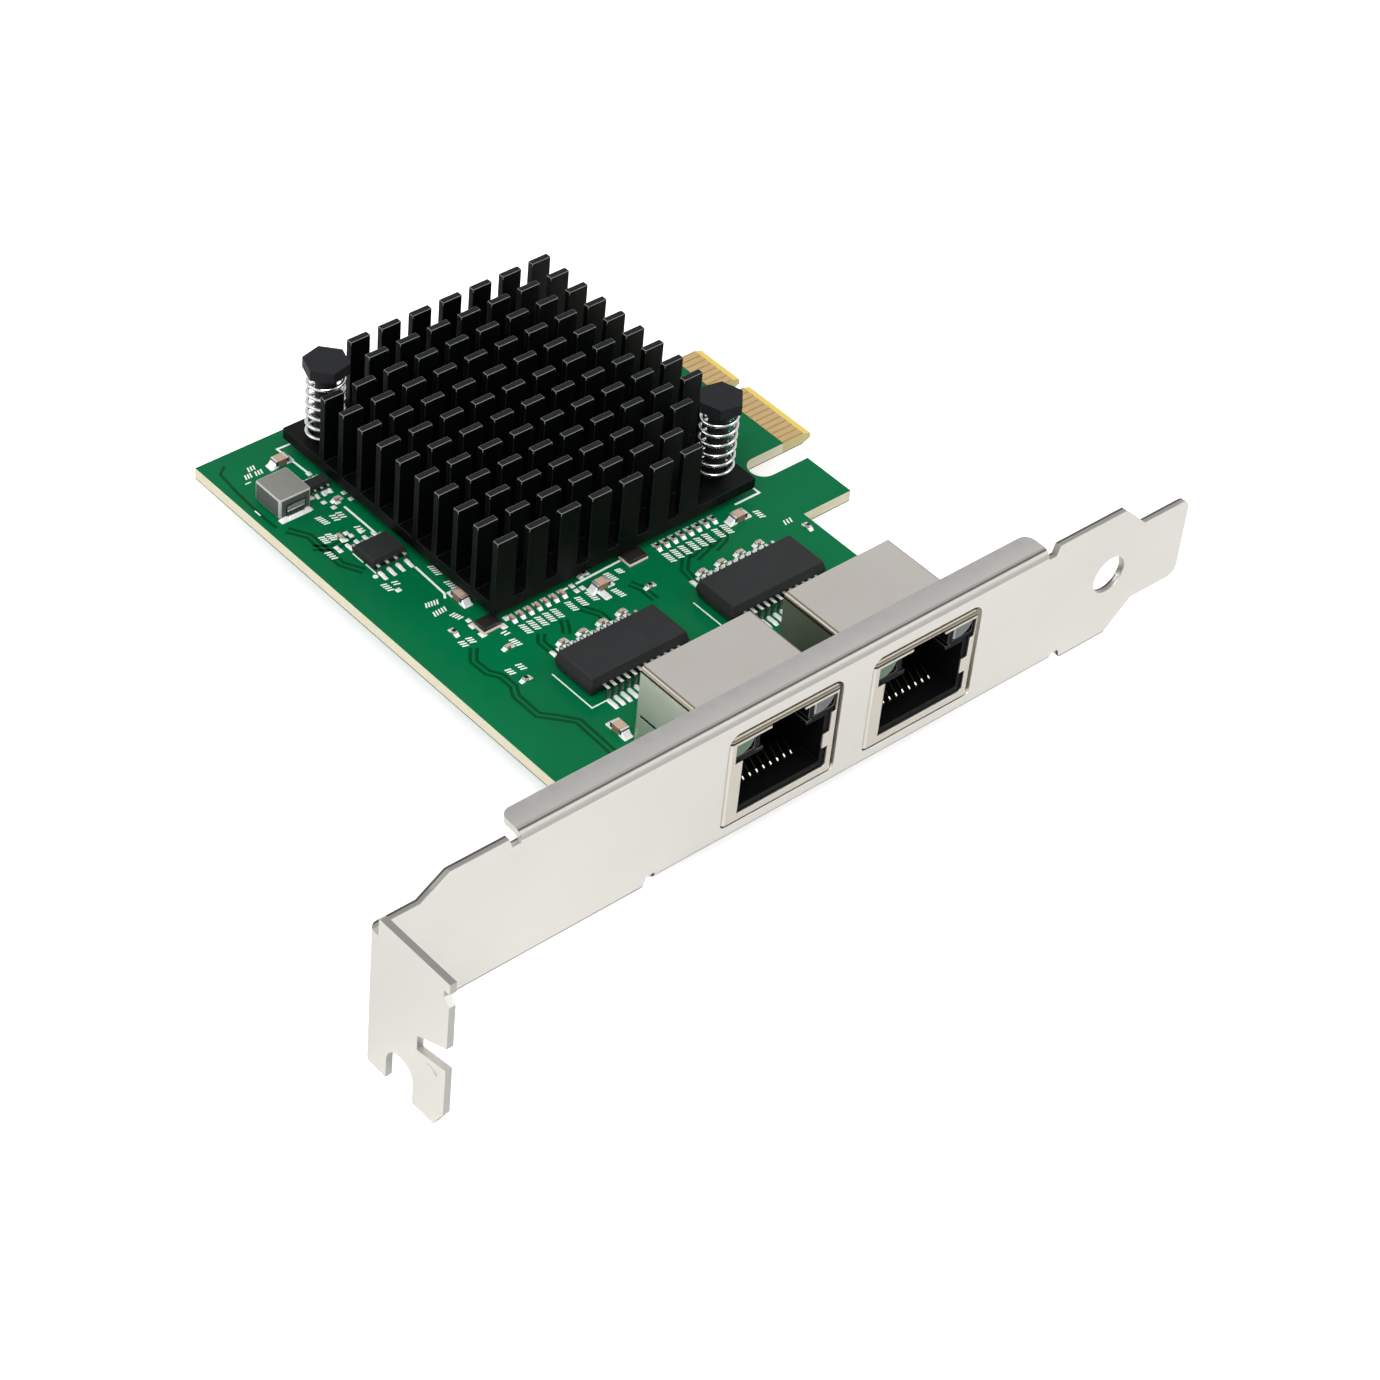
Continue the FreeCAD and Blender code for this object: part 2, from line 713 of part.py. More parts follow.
def make_board():
    """Glass-epoxy board with jack notches, an edge connector and its hook."""
    body = new_body("circuit_board")
    front = s.board_front

    def shape(sketch):
        points = [(s.board_left, front)]
        for left in jack_lefts.values():
            low, high = left - s.notch_room, left + s.jack_width + s.notch_room
            depth = s.jack_step + s.notch_room
            points += [(low, front), (low, depth), (high, depth), (high, front)]
        points += [
            (s.board_right, front), (s.board_right, s.hook_front), (s.hook_right, s.hook_front),
            (s.hook_right, s.hook_back), (s.throat_end, s.hook_back),
            (s.throat_end, s.finger_front), (s.finger_tip, s.finger_front),
            (s.finger_tip, key_centre - s.key_width / 2),
            (s.finger_tip - s.key_depth, key_centre - s.key_width / 2),
            (s.finger_tip - s.key_depth, key_centre + s.key_width / 2),
            (s.finger_tip, key_centre + s.key_width / 2),
            (s.finger_tip, finger_back), (s.board_right, finger_back),
            (s.board_right, s.board_back), (s.board_left, s.board_back)]
        outline(sketch, points)
        for x, y in pin_places.values():
            circle(sketch, x, y, s.pin_radius + s.pin_room)
        for x in screw_places.values():
            circle(sketch, x, s.screw_y, s.screw_radius + s.screw_room)

    plate = padded(body, "XY", board_bottom, 0, "laminate", shape)
    level = board_bottom / 2
    throat = [(s.throat_end, s.hook_back, level), (s.throat_end, s.finger_front, level)]
    slot = rounded(body, plate, "Z", throat, (s.finger_front - s.hook_back) / 2 - s.round_room,
                   "throat_round")
    key_root = s.finger_tip - s.key_depth
    key = [(key_root, key_centre + side * s.key_width / 2, level) for side in (-1, 1)]
    rounded(body, slot, "Z", key, s.key_width / 2 - s.round_room, "key_round")

    def bevels(sketch):
        over = s.overshoot
        tip, start = s.finger_tip + over, s.finger_tip - s.finger_bevel
        slope = s.finger_bevel_depth * (s.finger_bevel + over) / s.finger_bevel
        outline(sketch, [(start, 0), (tip, -slope), (tip, over), (start, over)])
        outline(sketch, [(start, board_bottom), (start, board_bottom - over),
                         (tip, board_bottom - over), (tip, board_bottom + slope)])

    pocketed(body, "XZ", s.finger_front - s.overshoot, finger_back + s.overshoot,
             "tip_bevels", bevels)

    wire_hole = (s.wire_width + s.wire_room) / 2
    leg_hole = s.shield_leg_width / 2 + s.notch_room
    drill_low, drill_high = board_bottom * 2, s.board_thick
    for jack, left in jack_lefts.items():
        for row in range(2):
            x = left + first_wire + s.wire_pitch * row
            y = s.wire_row_front + s.wire_row_step * row
            name = "wire_hole_%s_%d" % (jack, row)
            hole = pocketed(body, "XY", drill_low, drill_high, name,
                            lambda sketch: eight_sided(sketch, x, y, wire_hole))
            linear_pattern(body, hole, "X", s.wire_pitch * 2, jack_wire_count // 2, name + "_row")
        for edge, x in (("left", left + s.shield_steel / 2),
                        ("right", left + s.jack_width - s.shield_steel / 2)):
            pocketed(body, "XY", drill_low, drill_high, "leg_hole_%s_%s" % (jack, edge),
                     lambda sketch: eight_sided(sketch, x, s.shield_leg_y, leg_hole))
    return body


def make_edge_contacts(name, low, high):
    """Gold fingers on one face of the edge connector."""
    pads = []
    steps = list(range(key_contact_count))
    steps += [key_contact_count - 1 + key_gap_count + k for k in range(far_contact_count)]
    for k in steps:
        middle = first_finger + s.finger_pitch * k
        pads.append(box("%s_%d" % (name, k + 1),
                        (s.finger_start, middle - s.finger_width / 2, low),
                        (s.finger_tip - s.finger_bevel, middle + s.finger_width / 2, high)))
    return group(name, pads)


def make_heat_sink():
    """Extruded plates sawn across into fins, with two corners cleared for the push pins."""
    body = new_body("heat_sink")
    place(body, sink_left, s.sink_front, sink_bottom)
    height = s.sink_top - sink_bottom
    row_pitch = (s.sink_depth - s.fin_thick) / (fin_row_count - 1)
    column_pitch = (s.sink_width - s.fin_length) / (fin_column_count - 1)
    padded(body, "XY", 0, s.sink_base, "base",
           lambda sketch: rectangle(sketch, 0, s.sink_width, 0, s.sink_depth))
    plate = padded(body, "YZ", 0, s.sink_width, "plate",
                   lambda sketch: rectangle(sketch, 0, s.fin_thick, s.sink_base / 2, height))
    linear_pattern(body, plate, "Y", row_pitch, fin_row_count, "plates")

    over = s.overshoot
    saw = pocketed(body, "XZ", -over, s.sink_depth + over, "saw_cut",
                   lambda sketch: rectangle(sketch, s.fin_length, column_pitch,
                                            s.sink_base, height + over))
    linear_pattern(body, saw, "X", column_pitch, fin_column_count - 1, "saw_cuts")
    clear_x = column_pitch * s.ear_fin_count - (column_pitch - s.fin_length) / 2
    clear_y = row_pitch * s.ear_fin_count - (row_pitch - s.fin_thick) / 2

    def corners(sketch):
        rectangle(sketch, -over, clear_x, s.sink_depth - clear_y, s.sink_depth + over)
        rectangle(sketch, s.sink_width - clear_x, s.sink_width + over, -over, clear_y)

    pocketed(body, "XY", s.sink_base, height + over, "cleared_corners", corners)

    def holes(sketch):
        circle(sketch, s.pin_inset_x, s.sink_depth - s.pin_inset_y, s.pin_radius + s.pin_room)
        circle(sketch, s.sink_width - s.pin_inset_x, s.pin_inset_y, s.pin_radius + s.pin_room)

    pocketed(body, "XY", -over, s.sink_base + over, "pin_holes", holes)
    return body


def make_push_pin(side, turn):
    """Moulded pin: hexagonal head, collar, shank and a split barb under the board."""
    x, y = pin_places[side]
    name = "push_pin_" + side
    head_bottom = s.pin_top - s.pin_head_height
    head = doc.addObject("Part::Prism", name + "_head")
    head.Polygon = 6
    head.Placement.Rotation = FreeCAD.Rotation(FreeCAD.Vector(0, 0, 1), turn.value)
    bind(head, "Circumradius", s.pin_head_flats / math.sqrt(3))
    bind(head, "Height", s.pin_head_height)
    place(head, x, y, head_bottom)
    collar = cylinder(name + "_collar", (x, y, head_bottom - s.pin_collar_height),
                      s.pin_collar_radius, s.pin_collar_height)
    barb_top = board_bottom - s.pin_barb_room
    shank_bottom = barb_top - s.pin_barb_length / 2
    shank = cylinder(name + "_shank", (x, y, shank_bottom), s.pin_radius,
                     head_bottom - shank_bottom)
    barb = cone(name + "_barb", (x, y, barb_top - s.pin_barb_length),
                s.pin_tip_radius, s.pin_barb_radius, s.pin_barb_length)
    whole = fused(name + "_whole", [head, collar, shank, barb])
    reach = s.pin_barb_radius + s.overshoot
    slit_bottom = barb_top - s.pin_barb_length - s.overshoot
    slit = box(name + "_slit", (x - s.pin_split / 2, y - reach, slit_bottom),
               (x + s.pin_split / 2, y + reach, board_bottom / 2))
    return cut(name, whole, slit)


def make_spring(side):
    """Compression spring between the heat sink and the pin's head, in short straight lengths."""
    x, y = pin_places[side]
    wire, radius = s.spring_wire.value, s.spring_radius.value
    low = (base_top + s.spring_wire).value
    high = (s.pin_top - s.pin_head_height - s.spring_wire).value
    steps = round(s.spring_turn_count.value * spring_step_count)
    middle = FreeCAD.Vector(x.value, y.value, 0)
    points = []
    for k in range(steps + 1):
        turn = 2 * math.pi * k / spring_step_count
        rise = low + (high - low) * k / steps
        points.append(middle + FreeCAD.Vector(radius * math.cos(turn), radius * math.sin(turn), rise))
    out = FreeCAD.Vector(1, 0, 0)
    up = (points[1] - points[0]).normalize().cross(out)
    ring = []
    for k in range(spring_side_count):
        turn = 2 * math.pi * k / spring_side_count
        ring.append(points[0] + out * (wire * math.cos(turn)) + up * (wire * math.sin(turn)))
    section = Part.makePolygon(ring + ring[:1])
    spring = doc.addObject("Part::Feature", "push_pin_spring_" + side)
    spring.Shape = Part.makePolygon(points).makePipeShell([section], True, False, 1)
    return spring


def make_shield(side):
    """Folded tin-plated shell round a jack, open below, with a framed mouth."""
    body = new_body("jack_shield_" + side)
    place(body, jack_lefts[side], 0, 0)
    width, metal = s.jack_width, s.shield_steel
    shell = padded(body, "XZ", s.jack_front, s.jack_back, "shell",
                   lambda sketch: rectangle(sketch, 0, width, board_bottom, s.jack_top))
    middle = (s.jack_front + s.jack_back) / 2
    sides = rounded(body, shell, "Y", [(0, middle, s.jack_top), (width, middle, s.jack_top)],
                    s.shield_corner, "top_corners")
    rounded(body, sides, "X", [(width / 2, s.jack_front, s.jack_top)], s.shield_corner, "front_roll")
    over = s.overshoot
    pocketed(body, "YZ", -over, width + over, "rear_step",
             lambda sketch: rectangle(sketch, s.jack_step, s.jack_back + over,
                                      board_bottom - over, 0))
    pocketed(body, "XY", board_bottom - over, s.jack_top - metal, "inside",
             lambda sketch: rectangle(sketch, metal, width - metal,
                                      s.jack_front + metal, s.jack_back - metal))

    def mouth(sketch):
        plug_low = jack_middle - s.plug_mouth_left
        plug_high = jack_middle + s.plug_mouth_right
        latch_low = jack_middle - s.latch_mouth_width / 2
        latch_high = jack_middle + s.latch_mouth_width / 2
        tongue = plug_high - s.ground_tab_reach
        zone_low, zone_high = s.frame_side_left, width - s.frame_side_right
        outline(sketch, [
            (plug_low, s.plug_mouth_bottom),
            (plug_high - s.plug_mouth_corner, s.plug_mouth_bottom),
            (plug_high, s.plug_mouth_bottom + s.plug_mouth_corner),
            (plug_high, s.ground_tab_low), (tongue, s.ground_tab_low),
            (tongue, s.ground_tab_high), (plug_high, s.ground_tab_high),
            (plug_high, s.light_zone_bottom), (zone_high, s.light_zone_bottom),
            (zone_high, s.light_zone_top), (latch_high, s.light_zone_top),
            (latch_high, s.latch_mouth_top), (latch_low, s.latch_mouth_top),
            (latch_low, s.light_zone_top), (zone_low, s.light_zone_top),
            (zone_low, s.light_zone_bottom), (plug_low, s.light_zone_bottom)])

    pocketed(body, "XZ", s.jack_front - over, s.jack_front + metal * 2, "mouth", mouth)
    seam_end = s.jack_back - metal * 2
    pocketed(body, "YZ", -over, width + over, "side_seams",
             lambda sketch: rectangle(sketch, seam_end - s.side_seam_length, seam_end,
                                      s.side_seam_z, s.side_seam_z + s.side_seam_height))
    low = s.shield_leg_y - s.shield_leg_width / 2

    def leg(sketch):
        rectangle(sketch, low, low + s.shield_leg_width, board_bottom - s.tail_below, metal)

    padded(body, "YZ", 0, metal, "leg_left", leg)
    padded(body, "YZ", width - metal, width, "leg_right", leg)
    return body


def plug_outline(sketch):
    """The plug's profile with the stepped channel of its latch above it."""
    half, latch, neck = s.cavity_width / 2, s.latch_width / 2, s.latch_mouth_width / 2
    middle = jack_middle
    outline(sketch, [
        (middle - half, s.cavity_floor), (middle + half, s.cavity_floor),
        (middle + half, s.cavity_top), (middle + latch, s.cavity_top),
        (middle + latch, s.latch_top), (middle + neck, s.latch_top),
        (middle + neck, s.latch_neck_top), (middle - neck, s.latch_neck_top),
        (middle - neck, s.latch_top), (middle - latch, s.latch_top),
        (middle - latch, s.cavity_top), (middle - half, s.cavity_top)])


def make_housing(side):
    """Moulded insert with the plug cavity, light-pipe pockets and a channel for the wires."""
    body = new_body("jack_housing_" + side)
    place(body, jack_lefts[side], 0, 0)
    room = s.shield_steel + s.jack_gap
    width, over = s.jack_width, s.overshoot
    front, back = s.jack_front + room, s.jack_back - room
    padded(body, "XZ", front, back, "block",
           lambda sketch: rectangle(sketch, room, width - room,
                                    board_bottom + s.jack_gap, s.jack_top - room))
    pocketed(body, "YZ", -over, width + over, "rear_step",
             lambda sketch: rectangle(sketch, s.jack_step - s.jack_gap, s.jack_back + over,
                                      board_bottom - over, 0))
    pocketed(body, "XZ", front - over, front + s.cavity_depth, "plug_cavity", plug_outline)

    def pipe_pockets(sketch):
        for low in pipe_lefts.values():
            rectangle(sketch, low - s.pipe_room, low + s.pipe_width + s.pipe_room,
                      s.pipe_bottom - s.pipe_room,
                      s.pipe_bottom + s.pipe_height + s.pipe_room)

    pocketed(body, "XZ", front - over, front + s.pipe_length, "pipe_pockets", pipe_pockets)

    def between_sleeves(sketch):
        low = s.pipe_left + s.pipe_width + s.sleeve_side
        high = width - s.pipe_right - s.pipe_width - s.sleeve_side
        bottom, top = s.pipe_bottom - s.sleeve_below, s.jack_top + over
        outline(sketch, [(low, top), (low, bottom + s.sleeve_corner), (low - s.sleeve_corner, bottom),
                         (high + s.sleeve_corner, bottom), (high, bottom + s.sleeve_corner),
                         (high, top)])

    pocketed(body, "XZ", front - over, front + s.sleeve_length, "between_sleeves", between_sleeves)
    reach = s.wire_width / 2 + s.wire_room
    span = wire_span / 2 + reach
    low, high = s.wire_level - reach, s.wire_level + reach
    pocketed(body, "YZ", jack_middle - span, jack_middle + span, "wire_channel",
             lambda sketch: rectangle(sketch, s.wire_row_front - reach, s.jack_back + over,
                                      -over, high))
    pocketed(body, "XZ", front + s.cavity_depth - over, s.jack_back, "wire_entry",
             lambda sketch: rectangle(sketch, jack_middle - span, jack_middle + span, low, high))
    return body


def make_wires(side):
    """Eight gold-plated contacts stamped from strip, their tails in two staggered rows."""
    body = new_body("jack_wires_" + side)
    place(body, jack_lefts[side] + first_wire - s.wire_width / 2, 0, 0)
    half, level, bend = s.wire_thick / 2, s.wire_level, s.wire_bend
    run, drop = s.wire_knee_y - s.wire_toe_y, s.wire_level - s.wire_toe_z
    stretch = math.hypot(run.value, drop.value) / run.value
    slant = half * stretch
    shift = half * ((stretch - 1) * run.value / drop.value)
    for row in range(2):
        tail = s.wire_row_front + s.wire_row_step * row

        def strip(sketch):
            outline(sketch, [
                (tail + half, board_bottom - s.tail_below), (tail + half, level + half - bend),
                (tail + half - bend, level + half), (s.wire_knee_y - shift, level + half),
                (s.wire_toe_y, s.wire_toe_z + slant), (s.wire_toe_y, s.wire_toe_z - slant),
                (s.wire_knee_y + shift, level - half), (tail - half, level - half),
                (tail - half, board_bottom - s.tail_below)])

        near = s.wire_pitch * row
        contact = padded(body, "YZ", near, near + s.wire_width, "contact_%d" % row, strip)
        linear_pattern(body, contact, "X", s.wire_pitch * 2, jack_wire_count // 2, "contacts_%d" % row)
    return body


def make_light_pipe(name, side, edge):
    """Moulded light pipe with its lower right corner rounded, behind the window in the frame."""
    body = new_body(name)
    place(body, jack_lefts[side] + pipe_lefts[edge], 0, 0)
    front = s.jack_front + s.shield_steel
    block = padded(body, "XZ", front, front + s.pipe_length, "pipe",
                   lambda sketch: rectangle(sketch, 0, s.pipe_width, s.pipe_bottom,
                                            s.pipe_bottom + s.pipe_height))
    middle = front + s.pipe_length / 2
    rounded(body, block, "Y", [(s.pipe_width, middle, s.pipe_bottom)], s.pipe_corner,
            "round_corner")
    return body


def make_package(name, left, front, width, depth, foot, top, draft):
    """Moulded package whose four sides slope to a mould line at mid height."""
    middle = (foot + top) / 2
    body = new_body(name)
    place(body, left, front, 0)

    def slab(level, inset):
        sketch = sketch_on(body, "XY", level, "%s_level_%s" % (name, len(body.Group)))
        rectangle(sketch, inset, width - inset, inset, depth - inset)
        return sketch

    low, belt, high = slab(foot, draft), slab(middle, 0), slab(top, draft)
    loft = body.newObject("PartDesign::AdditiveLoft", name + "_mould")
    loft.Profile = low
    loft.Sections = [belt, high]
    loft.Ruled = True
    body.Tip = loft
    return body


def make_leads(name, left, front, width, depth, level, reach, lead_width, pitch, count):
    """Gull-wing leads along the two long sides of a package."""
    body = new_body(name)
    place(body, left + width / 2, front + depth / 2, 0)
    thick = s.lead_thick
    side = depth / 2
    knee = side + reach * s.lead_knee_share
    start = -(pitch * (count - 1) / 2) - lead_width / 2

    def gulls(sketch):
        for way in (1, -1):
            points = [
                (side, level - thick / 2), (knee, level - thick / 2), (knee, 0),
                (side + reach, 0), (side + reach, thick), (knee + thick, thick),
                (knee + thick, level + thick / 2), (side, level + thick / 2)]
            outline(sketch, [(y * way, z) for y, z in points])

    pair = padded(body, "YZ", start, start + lead_width, name + "_pair", gulls)
    linear_pattern(body, pair, "X", pitch, count, name + "_row")
    return body


def make_chip_parts(name, places, length, width, height, end):
    """Ceramic bodies and their plated ends: two groups for one kind of small part."""
    bodies, ends = [], []
    inner = length / 2 - end
    for k, (x, y, along_x) in enumerate(places, start=1):
        for m, (low, high) in enumerate(((-length / 2, -inner), (-inner, inner),
                                         (inner, length / 2))):
            if along_x:
                corners = ((x + low, y - width / 2, 0), (x + high, y + width / 2, height))
            else:
                corners = ((x - width / 2, y + low, 0), (x + width / 2, y + high, height))
            target = bodies if m == 1 else ends
            target.append(box("%s_%d_%d" % (name, k, m), *corners))
    return bodies, ends


def make_crystals():
    """Metal-lidded crystal cans: ceramic trays and the lids welded on them."""
    trays, lids = [], []
    for k, (x, y) in enumerate(can_places, start=1):
        half_x, half_y = s.can_length / 2, s.can_width / 2
        trays.append(box("crystal_tray_%d" % k, (x - half_x, y - half_y, 0),
                         (x + half_x, y + half_y, s.can_base)))
        lids.append(box("crystal_lid_%d" % k,
                        (x - half_x + s.can_inset, y - half_y + s.can_inset, s.can_base),
                        (x + half_x - s.can_inset, y + half_y - s.can_inset, s.can_height)))
    return group("crystal_trays", trays), group("crystal_lids", lids)


def make_controller():
    """Ball-grid package: a carrier with a moulded cap."""
    x, y = sink_middle
    half, cap = s.chip_width / 2, s.chip_width / 2 - s.chip_rim
    carrier = box("controller_carrier", (x - half, y - half, 0), (x + half, y + half, s.chip_carrier))
    mould = box("controller_mould", (x - cap, y - cap, s.chip_carrier),
                (x + cap, y + cap, s.chip_height))
    return fused("controller_chip", [carrier, mould])


def make_inductor():
    """Pressed-powder inductor and the two tinned terminals folded under its ends."""
    body = new_body("inductor")
    place(body, s.inductor_left, s.inductor_front, 0)
    width, depth = s.inductor_width, s.inductor_depth
    block = padded(body, "XY", s.terminal_thick, s.inductor_top, "powder_core",
                   lambda sketch: rectangle(sketch, 0, width, 0, depth))
    middle = s.inductor_top / 2
    rounded(body, block, "Z", [(x, y, middle) for x in (0, width) for y in (0, depth)],
            s.inductor_corner, "core_corners")
    terminals = new_body("inductor_terminals")
    place(terminals, s.inductor_left + width / 2, s.inductor_front + depth / 2, 0)
    thick, side = s.terminal_thick, depth / 2

    def clips(sketch):
        for way in (1, -1):
            points = [(side - s.terminal_foot, 0), (side + thick, 0),
                      (side + thick, s.terminal_height), (side, s.terminal_height),
                      (side, thick), (side - s.terminal_foot, thick)]
            outline(sketch, [(y * way, z) for y, z in points])

    padded(terminals, "YZ", -s.terminal_width / 2, s.terminal_width / 2, "clips", clips)
    return body, terminals


sink_middle = (s.sink_middle_x, s.sink_front + s.sink_depth / 2)


def on_grid(*steps):
    """A place on the board's drawing grid, given in steps."""
    return tuple(s.grid * step for step in steps)


can_places = [on_grid(475, 397), on_grid(688, 391)]
large_capacitors = [(*on_grid(479, 453), False), (*on_grid(624, 374), True),
                    (*on_grid(837, 374), True), (*on_grid(483, 174), False),
                    (*on_grid(459, 771), True)]
row_y = s.row_y
capacitor_row = [(s.row_left_x + s.row_pitch * k, row_y, False) for k in range(7)]
resistor_row = [(s.row_right_x + s.row_pitch * k, row_y, False) for k in range(8)]
filter_row = [(s.magnetics_left + shift + s.filter_row_offset + s.filter_row_pitch * k,
               s.magnetics_front + s.magnetics_depth + s.filter_row_gap, True)
              for shift in (0, s.jack_pitch) for k in range(4)]
loose_capacitors = [(*on_grid(472, 677), True), (*on_grid(433, 619), False),
                    (*on_grid(470, 354), True)]
loose_resistors = [(*on_grid(436, 410), False), (*on_grid(452, 300), True),
                   (*on_grid(671, 341), True), (*on_grid(895, 314), False),
                   (*on_grid(621, 402), True)]

nodes = {}
nodes["bracket"] = make_bracket()
nodes["bracket_screws"] = make_bracket_screws()
nodes["circuit_board"] = make_board()
nodes["edge_contacts_front"] = make_edge_contacts("edge_contacts_front", 0, s.finger_thick)
nodes["edge_contacts_back"] = make_edge_contacts("edge_contacts_back",
                                                 board_bottom - s.finger_thick, board_bottom)
nodes["heat_sink"] = make_heat_sink()
half_pad = s.pad_width / 2
nodes["thermal_pad"] = box("thermal_pad",
                           (sink_middle[0] - half_pad, sink_middle[1] - half_pad, s.chip_height),
                           (sink_middle[0] + half_pad, sink_middle[1] + half_pad, sink_bottom))
nodes["controller_chip"] = make_controller()
nodes["push_pins"] = group("push_pins", [make_push_pin("left", s.pin_head_turn),
                                         make_push_pin("right", -s.pin_head_turn)])
for side in ("left", "right"):
    nodes["push_pin_spring_" + side] = make_spring(side)
    nodes["jack_shield_" + side] = make_shield(side)
    nodes["jack_housing_" + side] = make_housing(side)
    nodes["jack_wires_" + side] = make_wires(side)
    for name, edge in (("link_light_" + side, "left"), ("activity_light_" + side, "right")):
        nodes[name] = make_light_pipe(name, side, edge)
    left = s.magnetics_left + (s.jack_pitch if side == "right" else 0)
    nodes["magnetics_" + side] = make_package(
        "magnetics_" + side, left, s.magnetics_front, s.magnetics_width, s.magnetics_depth,
        s.magnetics_foot, s.magnetics_top, s.magnetics_draft)
    nodes["magnetics_leads_" + side] = make_leads(
        "magnetics_leads_" + side, left, s.magnetics_front, s.magnetics_width, s.magnetics_depth,
        (s.magnetics_foot + s.magnetics_top) / 2, s.magnetics_lead_reach, s.magnetics_lead_width,
        s.magnetics_lead_pitch, magnetics_lead_count)
nodes["flash_memory"] = make_package(
    "flash_memory", flash_left, s.flash_front, s.flash_width, s.flash_depth,
    s.flash_foot, s.flash_top, s.flash_draft)
nodes["flash_memory_leads"] = make_leads(
    "flash_memory_leads", flash_left, s.flash_front, s.flash_width, s.flash_depth,
    (s.flash_foot + s.flash_top) / 2, s.flash_lead_reach, s.flash_lead_width,
    s.flash_lead_pitch, flash_lead_count)
nodes["regulator"] = make_package(
    "regulator", regulator_left, s.regulator_front, s.regulator_width, s.regulator_depth,
    s.regulator_foot, s.regulator_top, s.regulator_draft)
nodes["regulator_leads"] = make_leads(
    "regulator_leads", regulator_left, s.regulator_front, s.regulator_width,
    s.regulator_depth, (s.regulator_foot + s.regulator_top) / 2, s.regulator_lead_reach,
    s.regulator_lead_width, s.regulator_lead_pitch, regulator_lead_count)
nodes["inductor"], nodes["inductor_terminals"] = make_inductor()
nodes["crystal_trays"], nodes["crystal_lids"] = make_crystals()
large, large_ends = make_chip_parts("large_capacitor", large_capacitors, s.large_cap_length,
                                    s.large_cap_width, s.large_cap_height, s.large_cap_end)
small, small_ends = make_chip_parts("small_capacitor",
                                    capacitor_row + filter_row + loose_capacitors,
                                    s.small_part_length, s.small_part_width,
                                    s.small_part_height, s.small_part_end)
nodes["capacitors"] = group("capacitors", large + small)
nodes["capacitor_ends"] = group("capacitor_ends", large_ends + small_ends)
resistors, resistor_ends = make_chip_parts("resistor", resistor_row + loose_resistors,
                                           s.small_part_length, s.small_part_width,
                                           s.small_part_height, s.small_part_end)
nodes["resistors"] = group("resistors", resistors)
nodes["resistor_ends"] = group("resistor_ends", resistor_ends)
doc.recompute()

for obj in doc.Objects:
    if "Invalid" in obj.State or "Error" in obj.State:
        raise ValueError("%s failed: %s" % (obj.Name, obj.State))
os.makedirs("parts", exist_ok=True)
for name, obj in nodes.items():
    obj.Label = name
    shape = obj.Shape
    if shape.isNull() or not shape.isValid() or not shape.Solids:
        raise ValueError("%s has no valid solid" % name)
    shape.exportStep("parts/%s.step" % name)
    print("%-24s %3d solids %10.2f mm3" % (name, len(shape.Solids), shape.Volume))
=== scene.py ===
import bpy
import bmesh
import math
from mathutils import Matrix, Vector


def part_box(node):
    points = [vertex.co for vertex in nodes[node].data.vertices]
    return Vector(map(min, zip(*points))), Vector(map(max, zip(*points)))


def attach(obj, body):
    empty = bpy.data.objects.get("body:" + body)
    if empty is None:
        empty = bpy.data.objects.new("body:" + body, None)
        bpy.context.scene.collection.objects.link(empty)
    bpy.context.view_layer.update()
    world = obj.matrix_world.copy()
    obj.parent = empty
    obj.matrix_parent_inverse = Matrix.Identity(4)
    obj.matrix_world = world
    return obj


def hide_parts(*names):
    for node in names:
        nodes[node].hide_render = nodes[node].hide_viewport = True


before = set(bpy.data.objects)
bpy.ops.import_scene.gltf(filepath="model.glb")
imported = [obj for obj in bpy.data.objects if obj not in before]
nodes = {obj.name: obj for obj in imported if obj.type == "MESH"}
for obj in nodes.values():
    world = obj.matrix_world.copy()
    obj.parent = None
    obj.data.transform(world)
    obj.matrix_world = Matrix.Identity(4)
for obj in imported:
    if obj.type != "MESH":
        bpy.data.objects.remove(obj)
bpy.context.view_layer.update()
mm = 0.001


# Studio: a white table under soft lamps, and the camera that took the photograph's view.
# The table stands just under the bracket's tab, the lowest point of the card.

def shade(red, green, blue):
    """A colour read from a picture, as the numbers that a shader takes."""
    def straight(value):
        value /= 255
        return value / 12.92 if value <= 0.04045 else ((value + 0.055) / 1.055) ** 2.4
    return (straight(red), straight(green), straight(blue), 1.0)


